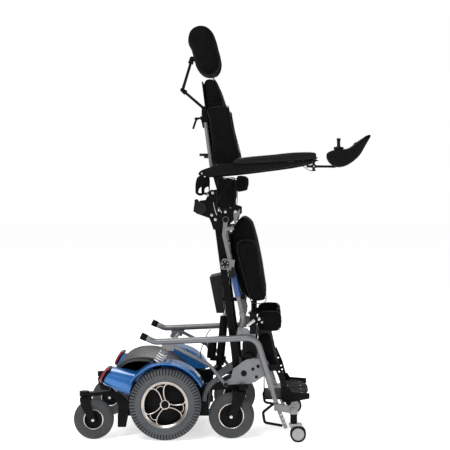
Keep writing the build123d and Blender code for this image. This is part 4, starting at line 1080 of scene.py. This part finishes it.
def armrests():
    for side, tag in SIDES:
        node = f"armrest_{tag}"
        pad = smooth_outline([(294, 1222), (300, 1213), (380, 1217), (480, 1224), (580, 1231), (662, 1238.5),
                              (669, 1246), (669, 1262), (660, 1270.5), (600, 1269.5), (540, 1266), (480, 1259),
                              (400, 1252), (320, 1243.5), (298, 1236)], 4)
        o = crowned(f"arm_pad_{tag}", pad, *span(side, 262, 318), 12, 6.0, 3.0, 2.0)
        finish_piece(o, node, material=VINYL, smooth=80)
        replace(o, node)
        beam = [(152, 1166), (147.5, 1178), (162, 1191), (200, 1204), (240, 1216), (288, 1223), (300, 1216),
                (480, 1221.5), (664, 1236.5), (660, 1226), (577, 1208), (460, 1192), (356, 1179), (200, 1163.5)]
        b = rounded_prism(f"arm_beam_{tag}", smooth_outline(beam, 2), *span(side, 280.5, 299.5), 3.4, 4)
        finish_piece(b, node, material=MATS["black_plastic"])
        seam = tube(f"arm_seam_{tag}", [(300, side * 316.5, 1227), (400, side * 317, 1234), (520, side * 317, 1245),
                                        (660, side * 316.5, 1254)], 1.0, 5)
        finish_piece(seam, node, material=PIPING)
        bits = [disc_piece((162, 1176), 12, *span(side, 299.5, 302.6), 1.2),
                disc_piece((330, 1194), 5, *span(side, 299.5, 301.6), 0.8),
                disc_piece((560, 1213), 5, *span(side, 299.5, 301.6), 0.8)]
        finish_piece(join(f"arm_caps_{tag}", bits), node, material=DARK_PLASTIC)
        bolt = disc_piece((162, 1176), 4.2, *span(side, 302.4, 304.2), 0.8)
        bolt.name = f"arm_bolt_{tag}"
        finish_piece(bolt, node, material=MATS["bright_steel"])
        if side < 0:
            post = [tube("post", [(655, side * 290, 1190), (655, side * 290, 1227)], 5.9, 1, False, False, 24),
                    tube("foot", [(655, side * 290, 1186.2), (655, side * 290, 1191.8)], 8.9, 1, False, False, 24)]
            finish_piece(join("arm_post_r", post), node, material=MATS["black_steel"])
            cable = tube("arm_cable_r", [(600, side * 296, 1211), (612, side * 298, 1205), (624, side * 299, 1196),
                                         (636, side * 299, 1190), (648, side * 298, 1188), (655, side * 297, 1190)],
                         1.5, 6)
            finish_piece(cable, node, material=MATS["black_rubber"])


def joystick():
    body = smooth_outline([(713, 1243), (723, 1224), (741, 1210), (760, 1203), (790, 1207), (822, 1224),
                           (855, 1254), (882, 1298), (904, 1338), (902, 1344), (893, 1345), (868, 1329),
                           (838, 1308), (806, 1286.5), (775, 1282), (742, 1278.5), (720, 1270), (712.5, 1260)], 4)
    o = rounded_prism("pod_shell", body, -324, -256, 11, 6)
    finish_piece(o, "joystick_pod", smooth=50, material=MATS["black_plastic"])
    replace(o, "joystick_pod")
    seam = tube("pod_seam", [(714, -325, 1249), (740, -325.2, 1246), (790, -325.2, 1256), (840, -325.2, 1290),
                             (888, -324, 1334)], 0.9, 6)
    finish_piece(seam, "joystick_pod", material=MATS["black_rubber"])
    n = Vector((-0.563, 0, 0.826))
    t = Vector((0.826, 0, 0.563))
    base = Vector((850, -290, 1316.6))

    def panel(name, along0, along1, half, thick, mat):
        corners = []
        for a, w in ((along0, -half), (along1, -half), (along1, half), (along0, half)):
            corners.append(base + t * a + Vector((0, w, 0)))
        verts = [tuple(c * MM) for c in corners] + [tuple((c + n * thick) * MM) for c in corners]
        faces = [(3, 2, 1, 0), (4, 5, 6, 7)] + [(k, (k + 1) % 4, 4 + (k + 1) % 4, 4 + k) for k in range(4)]
        p = mesh_object(name, verts, faces)
        b = p.modifiers.new("bevel", "BEVEL")
        b.width = 0.0012
        b.segments = 3
        finish_piece(p, "joystick_pod", material=mat)

    panel("pod_face", -8, 46, 25, 0.9, DARK_PLASTIC)
    panel("pod_screen", 4, 42, 20, 1.8, SCREEN)
    buttons = []
    for k in (-2, -1, 1, 2):
        c = base + t * -22 + Vector((0, 11 * k, 0))
        buttons.append(tube("key", [tuple(c - n * 1.0), tuple(c + n * 1.6)], 3.6, 1, False, False, 20))
    finish_piece(join("pod_keys", buttons), "joystick_pod", material=LIGHT_GREY)
    ring = []
    for k in range(40):
        a = 2 * math.pi * k / 40
        ring.append((765 + 19 * math.cos(a), -290 + 19 * math.sin(a), 1283.2 + 0.05 * 19 * math.cos(a)))
    collar = tube("pod_collar", ring, 1.8, 1, True, False, 10)
    finish_piece(collar, "joystick_pod", material=DARK_PLASTIC)
    arm = [tube("rod", [(623, -290, 1207), (700, -290, 1206.6), (752, -290, 1206)], 5.4, 3),
           tube("knuckle", [(655, -290, 1200.2), (655, -290, 1214.8)], 11, 1, False, False, 32)]
    finish_piece(join("pod_arm", arm), "joystick_pod", material=MATS["black_steel"])
    screw = tube("pod_screw", [(655, -301.5, 1207), (655, -304.5, 1207)], 3.6, 1, False, False, 20)
    finish_piece(screw, "joystick_pod", material=MATS["bright_steel"])
    gaiter = []
    for level in range(9):
        radius = 18.6 + 2.2 * math.sin(level / 8 * math.pi / 2)
        gaiter.append(tube("fold", [(765 + radius * math.cos(math.tau * k / 32), -290 + radius * math.sin(math.tau * k / 32),
                                     1279 + 1.5 * level) for k in range(32)], 1.6, 1, True, False, 8))
    finish_piece(join("pod_gaiter", gaiter), "joystick_pod", material=MATS["black_rubber"])
    prof = [(0, 1270), (3.8, 1270), (3.8, 1288.6), (10.8, 1289), (11.4, 1291.5), (9.2, 1295), (7.4, 1299), (7.2, 1310),
            (8.0, 1322), (9.2, 1328.5), (8.8, 1331), (0, 1331)]
    verts, faces = [], []
    count = 48
    for s in range(count):
        a = 2 * math.pi * s / count
        for r, z in prof:
            verts.append(((765 + r * math.cos(a)) * MM, (-290 + r * math.sin(a)) * MM, z * MM))
    m = len(prof)
    for s in range(count):
        q = (s + 1) % count
        for k in range(m - 1):
            faces.append((s * m + k, q * m + k, q * m + k + 1, s * m + k + 1))
    o = mesh_object("stick_knob", verts, faces)
    bm = bmesh.new()
    bm.from_mesh(o.data)
    bmesh.ops.remove_doubles(bm, verts=bm.verts, dist=1e-6)
    bmesh.ops.recalc_face_normals(bm, faces=bm.faces)
    bm.to_mesh(o.data)
    bm.free()
    finish_piece(o, "joystick_stick", smooth=50)
    replace(o, "joystick_stick")


# ---------------------------------------------------------------- footplates
def footplates():
    for side, tag in SIDES:
        node = f"footplate_{tag}"
        y0, y1 = span(side, 8.5, 182)
        far = y0 if side > 0 else y1
        plan = []
        outline = [(514, 8.5), (560, 8.5), (628, 8.8), (637, 12), (639.5, 24), (638.5, 60), (634, 95), (624, 128),
                   (608, 154), (588, 170), (566, 178.5), (545, 181.5), (514, 181.5)]
        pts = smooth_outline(outline, 4)
        pts = [(max(513.2, min(639.8, x)), max(8.2, min(182, y))) for x, y in pts]
        verts, faces = [], []
        n = len(pts)
        for z, d in ((174.2, 1.0), (175.0, 0.2), (181.0, 0.2), (181.9, 1.2)):
            for x, y in inset(pts, d):
                verts.append((x * MM, side * y * MM, z * MM))
        for r in range(3):
            for i in range(n):
                j = (i + 1) % n
                faces.append((r * n + i, r * n + j, (r + 1) * n + j, (r + 1) * n + i))
        faces.append(tuple(range(n - 1, -1, -1)))
        faces.append(tuple(3 * n + i for i in range(n)))
        o = mesh_object(f"foot_tread_{tag}", verts, faces)
        bm = bmesh.new()
        bm.from_mesh(o.data)
        bmesh.ops.recalc_face_normals(bm, faces=bm.faces)
        bm.to_mesh(o.data)
        bm.free()
        finish_piece(o, node, material=surface(f"m_foot_{tag}", (0.006, 0.006, 0.007), 0.7, 0.0, 1300, 0.4, 0.25, spec=0.1))
        replace(o, node)
        barrel = [tube("barrel", [(532.5, side * 192, 178), (594, side * 192, 178)], 8.3, 1, False, False, 28),
                  rounded_prism("web", [(532.5, 174.5), (532.5, 181.5), (594, 181.5), (594, 174.5)],
                                *span(side, 179, 188), 1, 2)]
        ribs = []
        for k in range(5):
            ribs.append(tube("grip", [(530 + 22 * k, side * 24, 181.6), (530 + 22 * k, side * 168, 181.6)], 1.0, 1,
                             False, False, 8))
        finish_piece(join(f"foot_hinge_{tag}", barrel + ribs), node)
        rivets = []
        for x, yy in ((606, 44), (606, 146), (545, 44), (545, 146)):
            rivets.append(tube("rivet", [(x, side * yy, 181.5), (x, side * yy, 183.0)], 4.2, 1, False, False, 20))
        finish_piece(join(f"foot_rivets_{tag}", rivets), node, material=MATS["bright_steel"])


# ---------------------------------------------------------------- small metal details
def head_arm_bars():
    """Flat bars of the two headrest arms."""
    low = [along((155, 1482), (55, 1568), 14, 6), along((155, 1482), (55, 1568), 116, 5),
           along((155, 1482), (55, 1568), 124, 0), along((155, 1482), (55, 1568), 116, -5),
           along((155, 1482), (55, 1568), 14, -6)]
    o = rounded_prism("arm_bar_lower", low, -8, 8, 2, 3)
    finish_piece(o, "head_lower_arm")
    length = math.dist((55, 1568), (99, 1714))
    high = [along((55, 1568), (99, 1714), 12, 6.5), along((55, 1568), (99, 1714), length - 16, 5),
            along((55, 1568), (99, 1714), length - 16, -5), along((55, 1568), (99, 1714), 12, -6.5)]
    o = rounded_prism("arm_bar_upper", high, -8, 8, 2, 3)
    finish_piece(o, "head_upper_arm")


def clamp_lever():
    """Hooked lever with a round grip on its clamp screw."""
    path = [(150, 18, 1425), (143, 18.6, 1434), (130, 19, 1438), (118, 19, 1430), (110, 19, 1410), (103, 19, 1388)]
    parts = [tube("hook", path, 4.9, 6), tube("hub", [(150, 12.4, 1425), (150, 20, 1425)], 8.6, 1, False, False, 28),
             tube("arm", [(130, 19, 1437), (120, 19, 1438)], 4.0, 1, False, False, 16)]
    grip = [(0, -6), (4, -5.4), (6, -3), (6.6, 0), (6, 3), (4, 5.4), (0, 6)]
    parts.append(lathe("grip", (116, 1436), 19, grip, 24))
    o = join("lever_hook", parts)
    finish_piece(o, "head_clamp_lever")
    replace(o, "head_clamp_lever")


def hardware():
    bolts = []
    for side, tag in SIDES:
        for c, r in (((386, 303), 7.4), ((409, 315), 7.4), ((402, 268), 7.4)):
            bolts.append(disc_piece(c, r, *span(side, 231.1, 233.2), 0.6))
            bolts.append(hexagon(c, r * 0.62, side * 233, side * 237.6, 15))
        bolts.append(disc_piece((266, 240), 9, *span(side, 267, 268.2), 0.5))
        bolts.append(hexagon((266, 240), 5.6, side * 268, side * 271.5, 15))
        for c in ((386, 492), (386, 548)):
            bolts.append(hexagon(c, 5.2, side * 252, side * 255.6, 10))
    o = join("bolt_heads", bolts)
    finish_piece(o, "frame_bolts", material=DARK_PLASTIC, smooth=30)
    replace(o, "frame_bolts")
    hip = []
    for side, tag in SIDES:
        for c in ((217, 970), (262, 1005), (307, 1006), (201, 990), (182, 1080), (205, 1090)):
            hip.append(disc_piece(c, 6.4, *span(side, 207.6, 209.6), 0.8))
        hip.append(tube("rod", [(208, side * 206.5, 1046), (216, side * 206.5, 1012), (224, side * 206.5, 990)], 2.0,
                        4))
        hip.append(tube("rod", [(228, side * 206.5, 1050), (236, side * 206.5, 1018), (246, side * 206.5, 1000)],
                        2.0, 4))
        for c in ((255, 1062), (285, 1026)):
            hip.append(disc_piece(c, 4.6, *span(side, 211.6, 213.2), 0.8))
    o = join("hip_bolts", hip)
    finish_piece(o, "hip_bracket", material=MATS["bright_steel"])
    knobs = []
    for side, tag in SIDES:
        for k in range(5):
            a = math.radians(72 * k + 20)
            knobs.append(disc_piece((262 + 12 * math.cos(a), 771 + 12 * math.sin(a)), 2.6,
                                    *span(side, 237.6, 239.6), 0.6, 16))
    finish_piece(join("clamp_bolts", knobs), "seat_frame", material=MATS["bright_steel"])
    cables = []
    for side, tag in SIDES:
        y = side * 222
        cables.append(tube("cable", [(176, y, 424), (160, y, 404), (152, y, 372), (158, y, 338), (176, y, 318),
                                     (200, y, 306)], 2.2, 8))
    finish_piece(join("frame_cables", cables), "side_frame", material=MATS["black_rubber"])


# ---------------------------------------------------------------- assembly
for side, tag in SIDES:
    drive_tyre(side, tag)
    drive_rim(side, tag)
    rear_casters(side, tag)
    front_casters(side, tag)
    anti_tip(side, tag)
shrouds()
centre_cover()
springs()
conduits()
seat_cushion()
knee_pads()
calf_pad()
side_guards()
backrest()
headrest()
armrests()
joystick()
footplates()
head_arm_bars()
clamp_lever()
hardware()

KEPT = {
    "base_frame": None, "rear_caster_arms": None, "battery_pack": None, "drive_motors": None,
    "end_caps_and_loops": None, "anti_tip_brackets": GUNMETAL, "control_boxes": DARK_PLASTIC, "leg_bars": None,
    "foot_carriers": None, "seat_sleeves": SLEEVE_BLUE, "seat_fittings": DARK_PLASTIC,
    "lift_actuator_body": None, "lift_actuator_rod": None, "parallel_links": None,
    "recline_motor": DARK_PLASTIC, "head_carrier": None, "head_lower_arm": None,
    "head_upper_arm": None, "joystick_gimbal": None, "power_button": None,
}
for node, material in KEPT.items():
    dress(node, material)
dress("seat_frame", None, MATS["black_steel"], lambda x, y, z: y < 202)
dress("side_frame", None, MATS["black_steel"],
      lambda x, y, z: (x > 330 and y < 223) or (x > 425 and y < 240.5 and 290 < z < 330)
      or (354 < x < 386 and y < 233 and 344 < z < 374) or (y < 178 and 275 < x < 330 and z > 310))
dress("hip_bracket", None, MATS["silver_paint"], lambda x, y, z: y > 203.5 and x > 296 and z < 1005)
dress("back_frame", MATS["black_steel"], MATS["silver_paint"],
      lambda x, y, z: 176 < y < 197 and 1188 < z < 1364 and abs(x - (202 - (z - 1180) * 30 / 226)) < 9.5)


# ---------------------------------------------------------------- stage, light, camera
AMBIENT = 0.38


def pale(name, colour, rough):
    m, tree, bsdf = new_material(name)
    coord = tree.nodes.new("ShaderNodeTexCoord").outputs["Object"]
    out = ramp(tree, noise(tree, coord, 2.0, 3.0), 0.3, 0.7, shade(colour, 0.99), shade(colour, 1.01))
    tree.links.new(out, bsdf.inputs["Base Color"])
    bsdf.inputs["Roughness"].default_value = rough
    return m


floor = mesh_object("floor", [(-30, -30, 0), (30, -30, 0), (30, 30, 0), (-30, 30, 0)], [(0, 1, 2, 3)])
floor_material = pale("m_floor", (0.9, 0.9, 0.9), 0.9)
floor_shader = floor_material.node_tree.nodes["Principled BSDF"]
floor_shader.inputs["Emission Color"].default_value = (1, 1, 1, 1)
floor_shader.inputs["Emission Strength"].default_value = 0.64
floor.data.materials.append(floor_material)

world = bpy.data.worlds.new("studio")
world.use_nodes = True
sky = world.node_tree
background = sky.nodes["Background"]
background.inputs[0].default_value = (1.0, 1.0, 1.0, 1)
path = sky.nodes.new("ShaderNodeLightPath")
level = sky.nodes.new("ShaderNodeMapRange")
level.inputs["To Min"].default_value = AMBIENT
level.inputs["To Max"].default_value = 1.0
sky.links.new(path.outputs["Is Camera Ray"], level.inputs["Value"])
sky.links.new(level.outputs["Result"], background.inputs[1])
bpy.context.scene.world = world


def area_light(name, place, target, size, power):
    data = bpy.data.lights.new(name, "AREA")
    data.energy = power
    data.size = size
    o = bpy.data.objects.new(name, data)
    o.location = Vector(place) - Vector((MIDDLE_X, 0, 0))
    o.rotation_euler = (Vector(target) - Vector(place)).to_track_quat("-Z", "Y").to_euler()
    bpy.context.scene.collection.objects.link(o)


area_light("key", (-1.2, -2.6, 4.0), (0.1, 0, 0.6), 2.0, 120)
area_light("fill", (3.2, -3.4, 1.6), (0.2, 0, 0.8), 2.0, 22)
area_light("back", (0.4, 3.0, 3.4), (0.1, 0, 0.8), 2.5, 70)

camera_data = bpy.data.cameras.new("camera")
camera_data.lens = 90.9
camera_data.sensor_width = 36.0
camera = bpy.data.objects.new("camera", camera_data)
camera.location = (0.4445 - MIDDLE_X, -5.305, 1.116)
camera.rotation_euler = (math.radians(90), 0.0, 0.0)
camera_data.shift_x = -41 / 450
camera_data.shift_y = -38 / 450
bpy.context.scene.collection.objects.link(camera)
bpy.context.scene.camera = camera
bpy.context.scene.view_settings.view_transform = "Standard"
